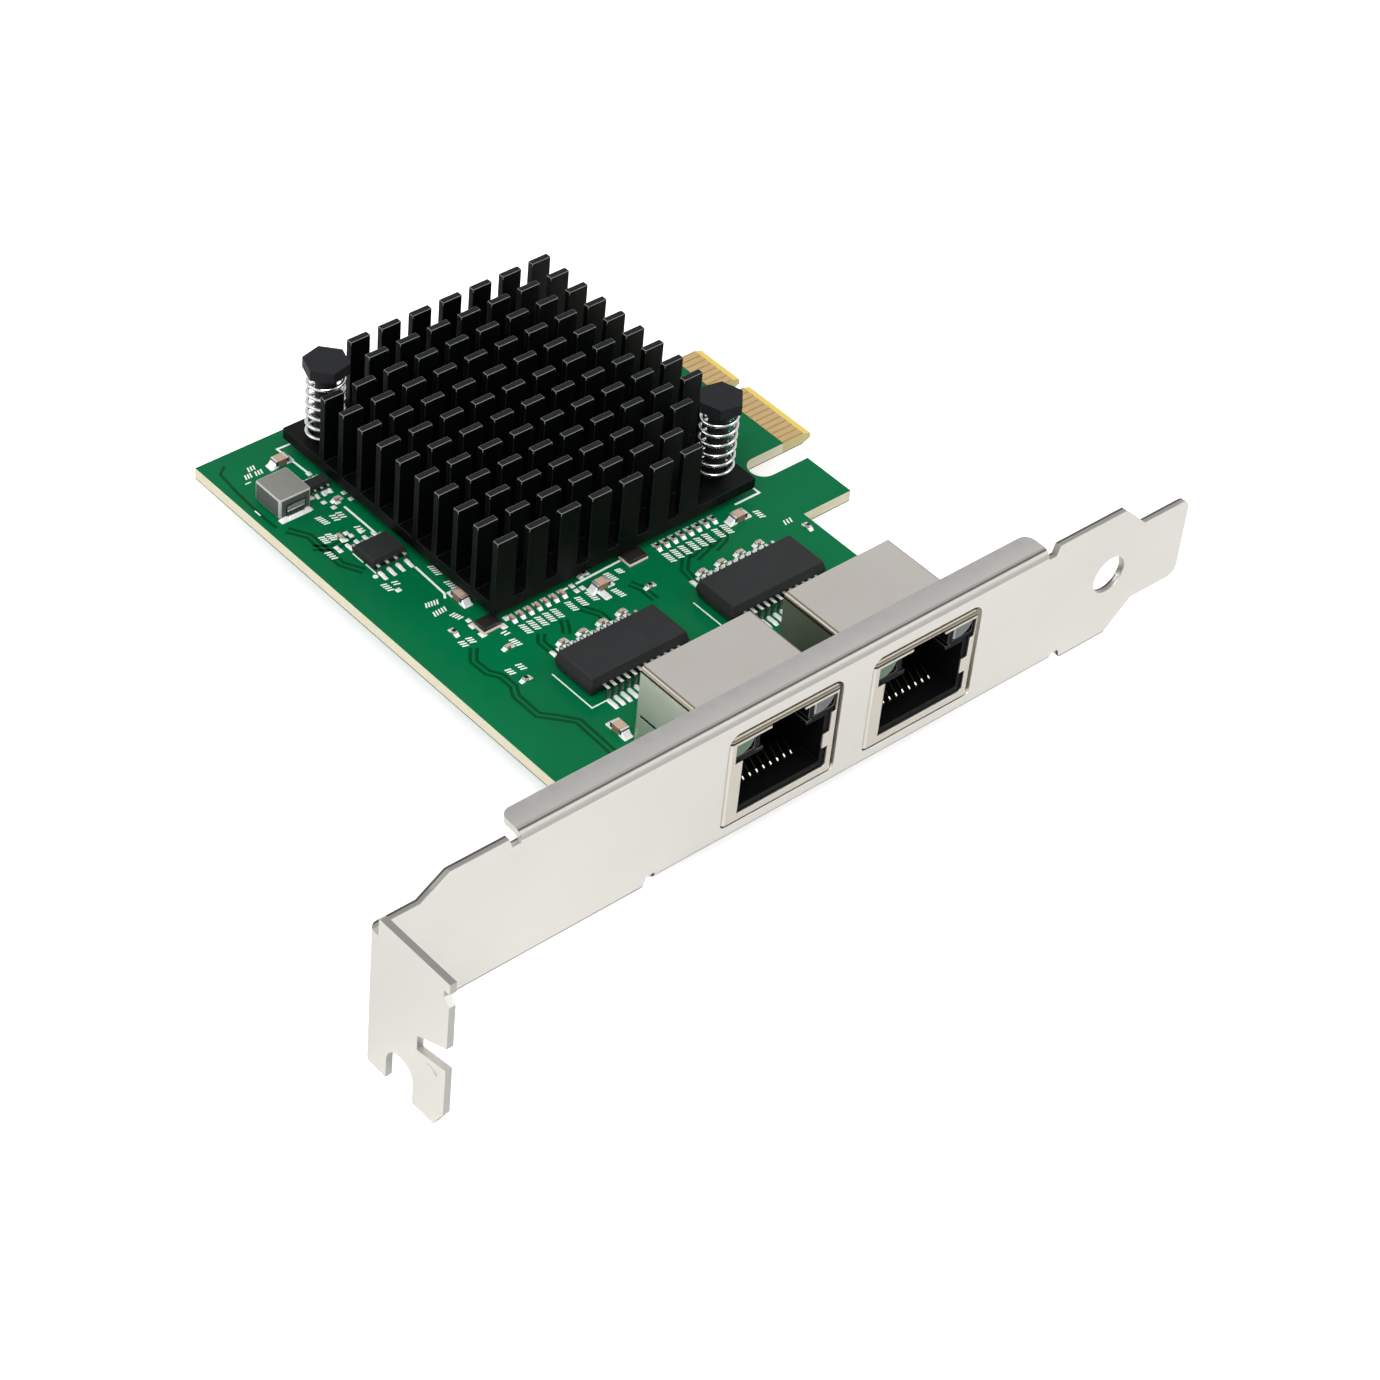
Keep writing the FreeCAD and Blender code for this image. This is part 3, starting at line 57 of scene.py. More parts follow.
class Shade:
    """One socket of a shader's node tree, which can be added, multiplied and so on."""

    square_on = 0.985

    def __init__(self, tree, socket=None):
        self.tree = tree
        self.socket = socket

    def node(self, kind, settings, inputs, output=0):
        """Add a node: its settings first, then a value or a link for each input."""
        made = self.tree.nodes.new("ShaderNode" + kind)
        for name, value in settings.items():
            if name == "stops":
                ramp = made.color_ramp.elements
                ramp[0].position, ramp[1].position = value[0][0], value[-1][0]
                for place, _ in value[1:-1]:
                    ramp.new(place)
                for stop, (_, colour) in zip(ramp, value):
                    stop.color = colour
            else:
                setattr(made, name, value)
        for key, value in inputs.items():
            if isinstance(value, Shade):
                self.tree.links.new(value.socket, made.inputs[key])
            else:
                made.inputs[key].default_value = value
        return Shade(self.tree, made.outputs[output])

    def maths(self, operation, first, second=0.0):
        return self.node("Math", {"operation": operation}, {0: first, 1: second})

    def __add__(self, other):
        return self.maths("ADD", self, other)

    def __sub__(self, other):
        return self.maths("SUBTRACT", self, other)

    def __rsub__(self, other):
        return self.maths("SUBTRACT", other, self)

    def __mul__(self, other):
        return self.maths("MULTIPLY", self, other)

    def __gt__(self, other):
        return self.maths("GREATER_THAN", self, other)

    def __lt__(self, other):
        return self.maths("LESS_THAN", self, other)

    def __abs__(self):
        return self.maths("ABSOLUTE", self)

    __radd__ = __add__
    __rmul__ = __mul__

    def ray(self, kind):
        """One for rays of a kind: those of the camera, of a reflection or through glass."""
        return self.node("LightPath", {}, {}, "Is " + kind + " Ray")

    def place(self):
        """Where a point lies on the card, in metres."""
        return self.node("TexCoord", {}, {}, "Object")

    def facing(self):
        """The way that a face looks, before any smoothing."""
        return self.node("NewGeometry", {}, {}, "True Normal")

    def axis(self, name):
        return self.node("SeparateXYZ", {}, {0: self}, name)

    def top(self):
        """One on faces that look up."""
        return self.facing().axis("Z") > 0.8

    def edge(self):
        """One where a face slants, as on a rounded edge of a square piece, and nought elsewhere."""
        facing = self.facing()
        most = abs(facing.axis("Z"))
        for name in ("X", "Y"):
            most = self.maths("MAXIMUM", most, abs(facing.axis(name)))
        return most < self.square_on

    def blend(self, amount, first, second):
        return self.node("Mix", {"data_type": "RGBA"}, {0: amount, 6: first, 7: second}, 2)

    def layered(self, colour, *layers):
        """A colour with others laid over it in turn, each where its mask is one."""
        for mask, over in layers:
            colour = self.blend(mask, colour, over)
        return colour

    def grain(self, size, detail=4.0, stretch=(1.0, 1.0, 1.0)):
        """Noise whose lumps are about the given size in metres."""
        scaled = self.node("Mapping", {}, {"Vector": self.place(), "Scale": stretch})
        return self.node("TexNoise", {}, {"Vector": scaled, "Scale": 1 / size, "Detail": detail})

    def relief(self, height, depth):
        return self.node("Bump", {}, {"Height": height, "Distance": depth, "Strength": 1.0})


def finish(name, fixed, varied):
    """A material: fixed numbers on the shader itself, and links for what varies."""
    made = bpy.data.materials.new(name)
    made.use_nodes = True
    shader = made.node_tree.nodes["Principled BSDF"]
    for key, value in fixed.items():
        shader.inputs[key].default_value = value
    for key, value in varied(Shade(made.node_tree)).items():
        made.node_tree.links.new(value.socket, shader.inputs[key])
    return made


black, white = (0, 0, 0, 1), (1, 1, 1, 1)
table_level, table_reach = -7.25 * mm, 3.0
table_mesh = bpy.data.meshes.new("table")
table_mesh.from_pydata([(x * table_reach, y * table_reach, table_level)
                        for x, y in ((-1, -1), (1, -1), (1, 1), (-1, 1))], [], [(0, 1, 2, 3)])
table = bpy.data.objects.new("table", table_mesh)
bpy.context.collection.objects.link(table)
table_mesh.materials.append(finish("white_table", {
    "Roughness": 0.9, "Specular IOR Level": 0.1, "Emission Strength": 0.55}, lambda s: {
        "Emission Color": s.blend(s.ray("Camera"), black, white),
        "Base Color": s.blend(s.ray("Glossy"), (0.86, 0.86, 0.86, 1), (0.80, 0.80, 0.79, 1))}))

world = bpy.data.worlds.new("studio")
bpy.context.scene.world = world
world.use_nodes = True
sky = Shade(world.node_tree)
rise = sky.node("TexCoord", {}, {}, "Generated").axis("Z")
ceiling = sky.node("ValToRGB", {"stops": [
    (0.0, (0.92, 0.92, 0.92, 1)), (0.30, (0.80, 0.80, 0.80, 1)), (0.55, (0.62, 0.62, 0.62, 1)),
    (0.85, (0.50, 0.50, 0.51, 1)), (1.0, (0.46, 0.46, 0.47, 1))]}, {0: rise})
room_light = (0.56, 0.56, 0.56, 1)
backdrop = sky.layered(room_light, (sky.ray("Glossy"), ceiling),
                       (sky.ray("Camera") + sky.ray("Transmission"), white))
world.node_tree.links.new(backdrop.socket, world.node_tree.nodes["Background"].inputs["Color"])

card_middle = Vector((60 * mm, 25 * mm, 4 * mm))
for name, place, size, power in (
        ("window_lamp", (-0.35, -0.25, 0.75), 0.50, 5.0),
        ("side_lamp", (0.55, -0.55, 0.60), 0.40, 2.0),
        ("back_lamp", (-0.55, 0.55, 0.50), 0.50, 1.3)):
    lamp = bpy.data.lights.new(name, "AREA")
    lamp.size = size
    lamp.energy = power
    holder = bpy.data.objects.new(name, lamp)
    holder.location = place
    holder.rotation_euler = (card_middle - Vector(place)).to_track_quat("-Z", "Y").to_euler()
    bpy.context.collection.objects.link(holder)

view_turn, view_rise, view_roll = (math.radians(angle) for angle in (-45.199, 41.685, 6.192))
view_distance, view_across, view_up = 436.555 * mm, 0.753 * mm, -1.533 * mm
view_centre = Vector((60 * mm, 20 * mm, 0))
focal_pixels, photo_pixels = 3863.348, 1380
backward = Vector((math.sin(view_turn) * math.cos(view_rise),
                   -math.cos(view_turn) * math.cos(view_rise), math.sin(view_rise)))
level_right = Vector((math.cos(view_turn), math.sin(view_turn), 0))
level_up = backward.cross(level_right)
right = level_right * math.cos(view_roll) + level_up * math.sin(view_roll)
upward = level_up * math.cos(view_roll) - level_right * math.sin(view_roll)
lens = bpy.data.cameras.new("camera")
lens.sensor_width = 36.0
lens.lens = focal_pixels * lens.sensor_width / photo_pixels
lens.clip_start = 0.01
camera = bpy.data.objects.new("camera", lens)
spot = view_centre + backward * view_distance + right * view_across + upward * view_up
camera.matrix_world = Matrix.Translation(spot) @ Matrix(
    (right, upward, backward)).transposed().to_4x4()
bpy.context.collection.objects.link(camera)
bpy.context.scene.camera = camera
bpy.context.scene.view_settings.view_transform = "Standard"


# Bracket: one strip of cold-rolled steel, blanked, folded at the tab and along both flanges,
# and satin nickel plated. The grain of the rolling runs along it. Its sheared edges and folds
# are duller than its face. Painted shade darkens its upper fold, the tab's crease, the back
# strip of its sheared edges and its lower edge where it curves away. Its top flange turns
# darker and mottled towards its back.

smooth_faces = bpy.data.node_groups.new("smooth_faces", "GeometryNodeTree")
for way in ("INPUT", "OUTPUT"):
    smooth_faces.interface.new_socket("Mesh", in_out=way, socket_type="NodeSocketGeometry")
smooth_in = smooth_faces.nodes.new("NodeGroupInput")
smooth_step = smooth_faces.nodes.new("GeometryNodeSetShadeSmooth")
smooth_out = smooth_faces.nodes.new("NodeGroupOutput")
smooth_faces.links.new(smooth_in.outputs[0], smooth_step.inputs[0])
smooth_faces.links.new(smooth_step.outputs[0], smooth_out.inputs[0])
same_point, same_plane = 0.002 * mm, math.radians(0.6)


def eased(piece, width, sharp):
    """Round a piece's sharp edges a little, as pressing, moulding or plating leaves them."""
    weld = piece.modifiers.new("weld", "WELD")
    weld.merge_threshold = same_point
    flats = piece.modifiers.new("flats", "DECIMATE")
    flats.decimate_type = "DISSOLVE"
    flats.angle_limit = same_plane
    round_edges = piece.modifiers.new("round_edges", "BEVEL")
    round_edges.width = width
    round_edges.segments = 2
    round_edges.limit_method = "ANGLE"
    round_edges.angle_limit = math.radians(sharp)
    smooth = piece.modifiers.new("smooth", "NODES")
    smooth.node_group = smooth_faces
    lay = piece.modifiers.new("lay", "WEIGHTED_NORMAL")
    lay.weight = 90


def dress(node, material, width=0.0, sharp=35.0):
    """Give a piece of the card its finish, and edges rounded by a width in millimetres."""
    for place in nodes[node].material_slots:
        place.material = material
    if width:
        eased(nodes[node], width * mm, sharp)


bracket_width, fold_reach, tab_fold_end = 18.4 * mm, 1.4 * mm, 5.0 * mm
edge_front, edge_shadow, edge_back = 0.10 * mm, 0.55 * mm, 0.80 * mm
mottle_start, mottle_full, tab_face = 1.2 * mm, 3.4 * mm, -1.2 * mm
rim_height, rim_depth = 0.14 * mm, 0.45 * mm
bend_height, bend_start = 1.0 * mm, 0.06 * mm
high_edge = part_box("bracket")[1].z
low_edge = high_edge - bracket_width
fold_level = high_edge - fold_reach


def nickel(s):
    rolled = s.grain(0.5 * mm, 3.0, (0.06, 1.0, 1.0))
    clouds = s.grain(14 * mm, 2.0)
    place, facing, slant = s.place(), s.facing(), s.edge()
    y, z, up = place.axis("Y"), place.axis("Z"), facing.axis("Z")
    # Painted shade on the upper fold's slanted faces, which are also rougher.
    fold = slant * (z > fold_level) * (y < fold_reach) * (up > 0.08)
    # Darker, mottled tone over the top flange, growing towards its back.
    outward = s.node("MapRange", {}, {0: y, 1: mottle_start, 2: mottle_full})
    back_mottle = (up > 0.95) * (z > fold_level) * outward * (0.2 + s.grain(1.4 * mm, 6.0) * 1.3)
    sheared = (up > 0.6) * (y < edge_back) * (y > edge_front)
    straight = place.axis("X") > tab_fold_end
    # Painted shade along the lower edge where it curves away.
    low = (y < rim_depth) * straight
    bent = (y > bend_start) * (z < low_edge + bend_height)
    rim = s.maths("MAXIMUM", z < low_edge + rim_height, bent) * low
    # Painted shade on the tab's crease, which is also rougher.
    crease = slant * (1 - straight) * (facing.axis("X") < -0.45) * (facing.axis("Y") < -0.45)
    cut = (abs(facing.axis("X")) < 0.5) * (y < tab_face)
    tone = s.layered(
        s.blend(clouds * 0.7, shade(226, 223, 217), shade(237, 235, 230)),
        (fold, shade(188, 185, 179)), (back_mottle, shade(212, 210, 207)),
        # Painted shade on the back strip of each sheared edge.
        (sheared, shade(190, 188, 184)), (sheared * (y > edge_shadow), shade(112, 110, 106)),
        (rim, shade(64, 64, 62)), (crease, shade(188, 187, 184)), (cut, shade(186, 184, 180)))
    rough = 0.27 + rolled * 0.07 + clouds * 0.06 + fold * 0.2 + crease * 0.2
    return {"Base Color": tone, "Roughness": rough, "Normal": s.relief(rolled, 0.0022 * mm)}


dress("bracket", finish("bracket_nickel", {"Metallic": 1.0}, nickel), 0.10, 40.0)


# Bracket screws: two M2 pan-head machine screws, zinc plated, driven from the component
# side through the board into the bracket's bosses.

screw_zinc = finish("screw_zinc", {"Metallic": 1.0, "Base Color": shade(205, 206, 208)},
                    lambda s: {"Roughness": 0.25 + s.grain(0.3 * mm) * 0.15})
dress("bracket_screws", screw_zinc, 0.08)


# Circuit board: glass-epoxy laminate 1.6 mm thick, routed to shape, with a glossy green
# mask on both faces. The tongue is bare laminate between its contacts, bevelled at the tip.

tongue_start, tongue_front = 97.9 * mm, 44.9 * mm
lower_mask = -1.47 * mm


def green_board(s):
    place = s.place()
    level = abs(s.facing().axis("Z"))
    flat = level > 0.98
    bevel = (level > 0.6) * (1 - flat)
    tongue = (place.axis("X") > tongue_start) * (place.axis("Y") > tongue_front)
    clouds, weave = s.grain(16 * mm, 3.0), s.grain(0.35 * mm, 2.0)
    mask = s.blend(clouds, shade(0, 96, 55), shade(2, 114, 68))
    mask = s.blend(weave * 0.35, mask, shade(1, 103, 61))
    bare = s.blend(weave, shade(168, 136, 86), shade(184, 152, 102))
    layers = s.grain(0.25 * mm, 3.0, (0.15, 0.15, 1.0))
    colour = s.layered(
        s.blend(layers, shade(214, 208, 180), shade(232, 226, 202)),
        (tongue, shade(202, 192, 142)), (place.axis("Z") < lower_mask, shade(52, 70, 50)),
        (flat, s.blend(tongue, mask, bare)), (bevel, shade(232, 204, 108)))
    glossy = flat * (1 - tongue)
    return {"Base Color": colour, "Roughness": 0.62 - glossy * 0.32 + weave * 0.04,
            "Coat Weight": glossy * 0.07, "Normal": s.relief(weave, 0.004 * mm)}


dress("circuit_board", finish(
    "board_green", {"Coat Roughness": 0.12, "Specular IOR Level": 0.06}, green_board))
nodes["circuit_board"].modifiers.new("weld", "WELD").merge_threshold = same_point


# Copper under the mask: etched tracks, most of them in pairs, a darker green where the mask
# lies over them. The mask is a film, so the tracks stand only a hair above the board.

def new_piece(name, shape):
    """Put a drawn shape on the card as a piece of its own."""
    mesh = bpy.data.meshes.new(name)
    shape.to_mesh(mesh)
    shape.free()
    piece = bpy.data.objects.new(name, mesh)
    bpy.context.collection.objects.link(piece)
    return piece


meeting_gap, mitre_limit = 0.01, 0.5


def ribbon(name, runs, width, thick):
    """Flat strips along the runs, with mitred corners. A run back to its own start closes."""
    shape = bmesh.new()
    for run in runs:
        closed = math.dist(run[0], run[-1]) < meeting_gap
        points = [Vector((x * mm, y * mm)) for x, y in (run[:-1] if closed else run)]
        count = len(points)
        rows = []
        for k, point in enumerate(points):
            before = points[k - 1] if k or closed else None
            after = points[(k + 1) % count] if k < count - 1 or closed else None
            come = (point - before).normalized() if before else None
            go = (after - point).normalized() if after else None
            come, go = come or go, go or come
            mean = (come + go).normalized()
            side = Vector((-mean.y, mean.x)) * (width / 2 / max(mean.dot(go), mitre_limit))
            rows.append([shape.verts.new((*(point + side * way), height))
                         for height in (thick, 0.0) for way in (1, -1)])
        for k in range(count if closed else count - 1):
            near, far = rows[k], rows[(k + 1) % count]
            for a, b in ((0, 1), (1, 3), (2, 0)):
                shape.faces.new((near[a], near[b], far[b], far[a]))
        if not closed:
            for end in (rows[0], rows[-1]):
                shape.faces.new((end[0], end[1], end[3], end[2]))
    bmesh.ops.recalc_face_normals(shape, faces=shape.faces)
    return new_piece(name, shape)


def beside(run, gap):
    """The same run drawn a little to one side."""
    moved = []
    for k, (x, y) in enumerate(run):
        before, after = run[max(k - 1, 0)], run[min(k + 1, len(run) - 1)]
        away = Vector((-(after[1] - before[1]), after[0] - before[0])).normalized() * gap
        moved.append((x + away.x, y + away.y))
    return moved


track_width, track_rise, pair_gap = 0.42 * mm, 0.006 * mm, 0.78
paired_runs = [
    [(43.5, 37.9), (42.0, 36.0), (42.1, 33.4), (43.0, 32.0), (43.0, 30.1), (42.2, 28.6),
     (42.2, 24.6), (44.0, 22.6), (45.2, 21.2), (44.9, 9.0)],
    [(51.3, 35.3), (50.3, 34.1), (50.3, 31.3)], [(57.8, 35.7), (58.9, 33.7), (58.9, 31.9)],
    [(54.9, 35.6), (54.2, 34.4), (53.6, 33.6)], [(65.2, 35.8), (65.8, 34.3), (65.8, 32.0)],
    [(75.6, 37.4), (73.4, 35.6), (72.0, 34.2), (71.6, 31.6)],
    [(78.6, 37.4), (76.8, 35.8), (74.6, 35.2)], [(81.0, 37.4), (79.6, 35.8), (77.6, 35.2)],
    [(39.4, 62.0), (41.4, 60.6), (44.6, 60.8)],
    [(38.8, 66.4), (40.2, 64.2), (40.2, 58.0), (41.6, 55.4)]]
edge_run = [(40.2, 80.4), (38.9, 79.4), (38.5, 75.5), (38.3, 70.4), (38.4, 67.6)]
track_runs = paired_runs + [beside(run, pair_gap) for run in paired_runs] + [edge_run]
tracks = ribbon("tracks", track_runs, track_width, track_rise)
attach(tracks, "root")


def masked_copper(s):
    clouds = s.grain(9 * mm, 2.0)
    return {"Base Color": s.blend(clouds, shade(0, 64, 30), shade(2, 74, 38)),
            "Roughness": 0.32 + clouds * 0.06}


tracks.data.materials.append(finish("masked_copper", {
    "Coat Weight": 0.05, "Coat Roughness": 0.12, "Specular IOR Level": 0.08}, masked_copper))


# Printed marks: white ink, screened on the board as plain outlines, corner marks, dots and
# rows of slanted ticks beside the parts. They say nothing; each only shows where a part goes.

def speckled(lump, dark, light, rough, spread=0.1, fine=0.2):
    """A colour and a gloss that waver a little, in lumps whose sizes are in millimetres."""
    return lambda s: {"Base Color": s.blend(s.grain(lump * mm), shade(*dark), shade(*light)),
                      "Roughness": rough + s.grain(fine * mm) * spread}


def dot(x, y, radius):
    """A filled dot, drawn as one broad closed run."""
    turns = [math.pi * k / 6 for k in range(12)] + [0]
    return [(x + radius / 2 * math.cos(turn), y + radius / 2 * math.sin(turn)) for turn in turns]


tick_pitch, tick_height, tick_lean = 0.40, 0.78, 0.13


def ticks(x0, y0, x1, y1):
    """A row of slanted ticks between two places."""
    along = Vector((x1 - x0, y1 - y0))
    count = max(round(along.length / tick_pitch), 2)
    step = along / count
    way = step.normalized()
    lean = Vector((-way.y, way.x)) * tick_height / 2 + way * tick_lean
    middles = [Vector((x0, y0)) + step * (k + 0.5) for k in range(count)]
    return [[tuple(middle - lean), tuple(middle + lean)] for middle in middles]


outline_marks = [
    [(49.6, 79.3), (47.2, 79.4), (47.5, 73.8)], [(47.2, 66.2), (47.2, 60.1)],
    [(47.2, 52.7), (47.0, 47.0), (46.5, 46.3)], [(58.2, 39.5), (59.2, 39.5)],
    [(60.4, 39.5), (67.3, 39.7)], [(85.2, 39.6), (89.1, 39.6), (89.1, 41.6)],
    [(89.1, 76.0), (89.1, 79.4), (84.0, 79.4)]]
corner_marks = [
    [(40.2, 76.2), (41.0, 76.2)], [(38.2, 71.6), (38.2, 70.5)],
    [(42.8, 58.8), (42.8, 56.8)], [(42.85, 56.4), (42.8, 54.4)],
    [(48.2, 29.0), (48.2, 22.0), (50.55, 22.0)], [(69.35, 29.0), (69.35, 22.0), (71.7, 22.0)]]
front_rows = [50.7 + 1.17 * k for k in range(5)] + [
    57.5, 59.0, 60.6, 72.4, 73.6, 74.8, 76.1, 77.3, 78.5, 80.1, 81.4]
label_rows = [(x, 37.7, x, 35.8) for x in front_rows] + [
    (41.9, 78.2, 43.1, 78.2), (42.2, 77.1, 43.4, 77.1), (40.8, 77.2, 41.9, 77.2),
    (43.4, 66.5, 43.7, 64.7), (45.05, 65.9, 45.05, 64.5), (45.95, 65.9, 45.95, 64.5),
    (46.15, 62.6, 46.15, 61.2), (41.6, 63.4, 41.6, 61.9), (42.55, 63.4, 42.55, 61.9),
    (40.5, 60.8, 40.6, 59.1), (48.7, 51.9, 48.6, 49.9), (48.5, 48.7, 48.6, 47.0),
    (42.3, 52.5, 42.4, 50.9), (43.6, 52.2, 43.6, 51.3), (43.8, 46.6, 45.6, 46.3),
    (43.6, 44.8, 45.6, 44.9), (45.4, 43.8, 45.9, 42.4), (43.3, 39.5, 43.3, 38.3),
    (44.4, 39.5, 44.4, 38.3), (48.2, 38.0, 48.5, 37.1), (48.2, 36.4, 48.4, 34.9),
    (44.6, 32.7, 44.7, 31.5), (46.1, 32.7, 46.2, 31.4), (63.3, 36.3, 63.6, 34.5),
    (64.4, 39.0, 64.7, 37.2), (66.0, 38.8, 66.1, 37.8), (86.4, 37.4, 86.4, 35.8),
    (87.6, 33.6, 89.0, 33.6)]
label_marks = [tick for row in label_rows for tick in ticks(*row)]
dot_radius, ink_rise = 0.33, 0.022 * mm
ink = finish("white_ink", {"Specular IOR Level": 0.3},
             speckled(0.3, (226, 238, 228), (246, 250, 244), 0.55))
for name, runs, width in (
        ("outline_marks", outline_marks, 0.30), ("corner_marks", corner_marks, 0.18),
        ("label_marks", label_marks, 0.20),
        ("dot_marks", [dot(42.4, 54.0, dot_radius)], dot_radius)):
    marks = ribbon(name, runs, width * mm, ink_rise)
    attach(marks, "root")
    marks.data.materials.append(ink)


# Edge contacts: copper fingers plated with hard gold, 18 on each face of the tongue. The
# plating has a slight grain along the board's direction of travel in the slot.

def hard_gold(s):
    grain = s.grain(0.12 * mm, 3.0, (0.15, 1.0, 1.0))
    return {"Base Color": s.blend(grain, shade(238, 204, 146), shade(250, 222, 168)),
            "Roughness": 0.30 + grain * 0.12}


contact_gold = finish("contact_gold", {"Metallic": 1.0}, hard_gold)
for node in ("edge_contacts_front", "edge_contacts_back"):
    dress(node, contact_gold)


# Solder: bright tin-silver fillets that wet the plated ends, the lead feet and the pads under
# them. Each is drawn as a small mound that falls away in a curve from the part's own metal.

touching = 1e-6


def islands(node):
    """The boxes of a piece's separate solids, low and high corners, in the card's frame."""
    piece = nodes[node]
    mesh = bmesh.new()
    mesh.from_mesh(piece.data)
    bmesh.ops.remove_doubles(mesh, verts=mesh.verts, dist=touching)
    left, boxes = set(mesh.verts), []
    while left:
        grown = [left.pop()]
        for vert in grown:
            for edge in vert.link_edges:
                other = edge.other_vert(vert)
                if other in left:
                    left.remove(other)
                    grown.append(other)
        places = [piece.matrix_world @ vert.co for vert in grown]
        boxes.append([[min(p[k] for p in places) for k in range(3)],
                      [max(p[k] for p in places) for k in range(3)]])
    mesh.free()
    return sorted(boxes)


solder_bright = finish("solder_bright", {"Metallic": 0.22},
                       speckled(0.3, (244, 245, 244), (254, 254, 254), 0.26, 0.14))
mound_steps, mound_curve, solder_film = 10, 1.8, 0.012 * mm


def mounds(name, spots):
    """Solder at each spot: its rectangle, its way out, its height, and its reach and spill."""
    shape = bmesh.new()
    for (x0, x1, y0, y1), ways, height, reach, spill in spots:
        middle, half = ((x0 + x1) / 2, (y0 + y1) / 2), ((x1 - x0) / 2, (y1 - y0) / 2)
        rooms = [reach if way else spill for way in ways]
        grid = []
        for j in range(mound_steps + 1):
            line = []
            for k in range(mound_steps + 1):
                shares = (j / mound_steps * 2 - 1, k / mound_steps * 2 - 1)
                spread = [(size + room) * share for size, room, share in zip(half, rooms, shares)]
                fall = min(math.hypot(*(max(abs(place) - size, 0.0) / room
                                        for place, size, room in zip(spread, half, rooms))), 1.0)
                keep = [place if not way or place * way > 0 else max(min(place, size), -size)
                        for place, size, way in zip(spread, half, ways)]
                level = height * (1 - fall) ** mound_curve + solder_film * (1 - fall)
                line.append(shape.verts.new((middle[0] + keep[0], middle[1] + keep[1], level)))
            grid.append(line)
        for near, far in zip(grid, grid[1:]):
            for k in range(mound_steps):
                shape.faces.new((near[k], far[k], far[k + 1], near[k + 1])).smooth = True
    piece = new_piece(name, shape)
    piece.data.materials.append(solder_bright)
    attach(piece, "root")


in_line, end_climb, end_reach, end_spill = 0.02 * mm, 0.72, 0.8, 0.05 * mm


def end_spots(node):
    """Both ends of each chip part, with the way that leads from one end to the other."""
    boxes, spots = islands(node), []
    middles = [(Vector(low) + Vector(high)) / 2 for low, high in boxes]
    for here, (low, high) in zip(middles, boxes):
        apart = [here - other for other in middles if other is not here]
        away = min((gap for gap in apart if min(abs(gap.x), abs(gap.y)) < in_line),
                   key=lambda gap: gap.length)
        way = (round(away.x / away.length), round(away.y / away.length))
        spots.append(((low[0], high[0], low[1], high[1]), way,
                      high[2] * end_climb, high[2] * end_reach, end_spill))
    return spots


foot_spill = 0.06 * mm


def foot_spots(leads, package, foot, reach, height):
    """The flat end of each lead, pointing away from the middle of its package's box."""
    spots = []
    package_low, package_high = package
    for low, high in islands(leads):
        out = 1 if low[1] + high[1] > package_low.y + package_high.y else -1
        rim = (high[1] - foot, high[1]) if out > 0 else (low[1], low[1] + foot)
        spots.append(((low[0], high[0], *rim), (0, out), height, reach, foot_spill))
    return spots


mounds("chip_solder", end_spots("capacitor_ends") + end_spots("resistor_ends"))
foot_solder = []
for side in ("left", "right"):
    foot_solder += foot_spots("magnetics_leads_" + side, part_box("magnetics_" + side),
                              1.3 * mm, 0.35 * mm, 0.20 * mm)
for node, foot, reach in (("flash_memory", 0.55, 0.95), ("regulator", 0.30, 0.45)):
    foot_solder += foot_spots(node + "_leads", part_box(node),
                              foot * mm, reach * mm, 0.24 * mm)
low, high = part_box("inductor")
foot_solder += foot_spots("inductor_terminals", (low, high),
                          0.30 * mm, 0.45 * mm, 0.35 * mm)
foot_solder.append(((low.x, high.x - 0.1 * mm, low.y - 0.05 * mm, low.y + 0.2 * mm), (0, -1),
                    0.30 * mm, 0.60 * mm, foot_spill))
mounds("foot_solder", foot_solder)
pads, pad_rim, pad_height, pad_reach, pad_spill = [], 0.1, 0.06 * mm, 0.1 * mm, 0.17 * mm
for x, y, wide, deep in (
        (47.5, 73.5, 0.5, 0.6), (45.9, 70.6, 0.5, 0.6), (45.0, 69.7, 0.5, 0.5),
        (47.3, 69.6, 0.5, 0.6), (45.7, 68.2, 0.5, 0.5), (47.0, 67.3, 0.6, 0.5),
        (46.1, 66.8, 0.5, 0.5), (48.7, 68.3, 0.5, 0.5), (48.7, 66.9, 0.5, 0.5),
        (44.4, 62.2, 0.5, 0.5), (43.5, 62.2, 0.5, 0.5), (43.6, 61.2, 0.5, 0.5),
        (44.6, 61.5, 0.5, 0.5), (41.9, 60.7, 0.5, 0.5), (41.9, 60.0, 0.5, 0.5),
        (46.0, 61.5, 0.5, 0.6), (44.6, 77.0, 0.5, 0.5), (43.1, 50.6, 0.6, 0.5),
        (46.1, 40.7, 0.7, 0.8), (46.1, 38.9, 0.7, 0.8), (48.9, 38.6, 0.7, 0.8),
        (50.0, 39.5, 0.5, 0.7), (46.3, 41.7, 0.5, 0.5), (61.6, 39.8, 0.5, 0.6),
        (59.8, 39.5, 0.5, 0.6), (59.7, 38.5, 0.5, 0.6), (60.6, 38.5, 0.5, 0.6),
        (61.9, 36.0, 0.9, 1.5)):
    half = (wide / 2 - pad_rim) * mm, (deep / 2 - pad_rim) * mm
    pads.append(((x * mm - half[0], x * mm + half[0], y * mm - half[1], y * mm + half[1]),
                 (0, 0), pad_height, pad_reach, pad_spill))
mounds("bare_pads", pads)


# Network jacks: black moulded inserts with gold spring contacts, two light pipes in each,
# and a shell folded from tin-plated brass that clips over them and solders to the board.

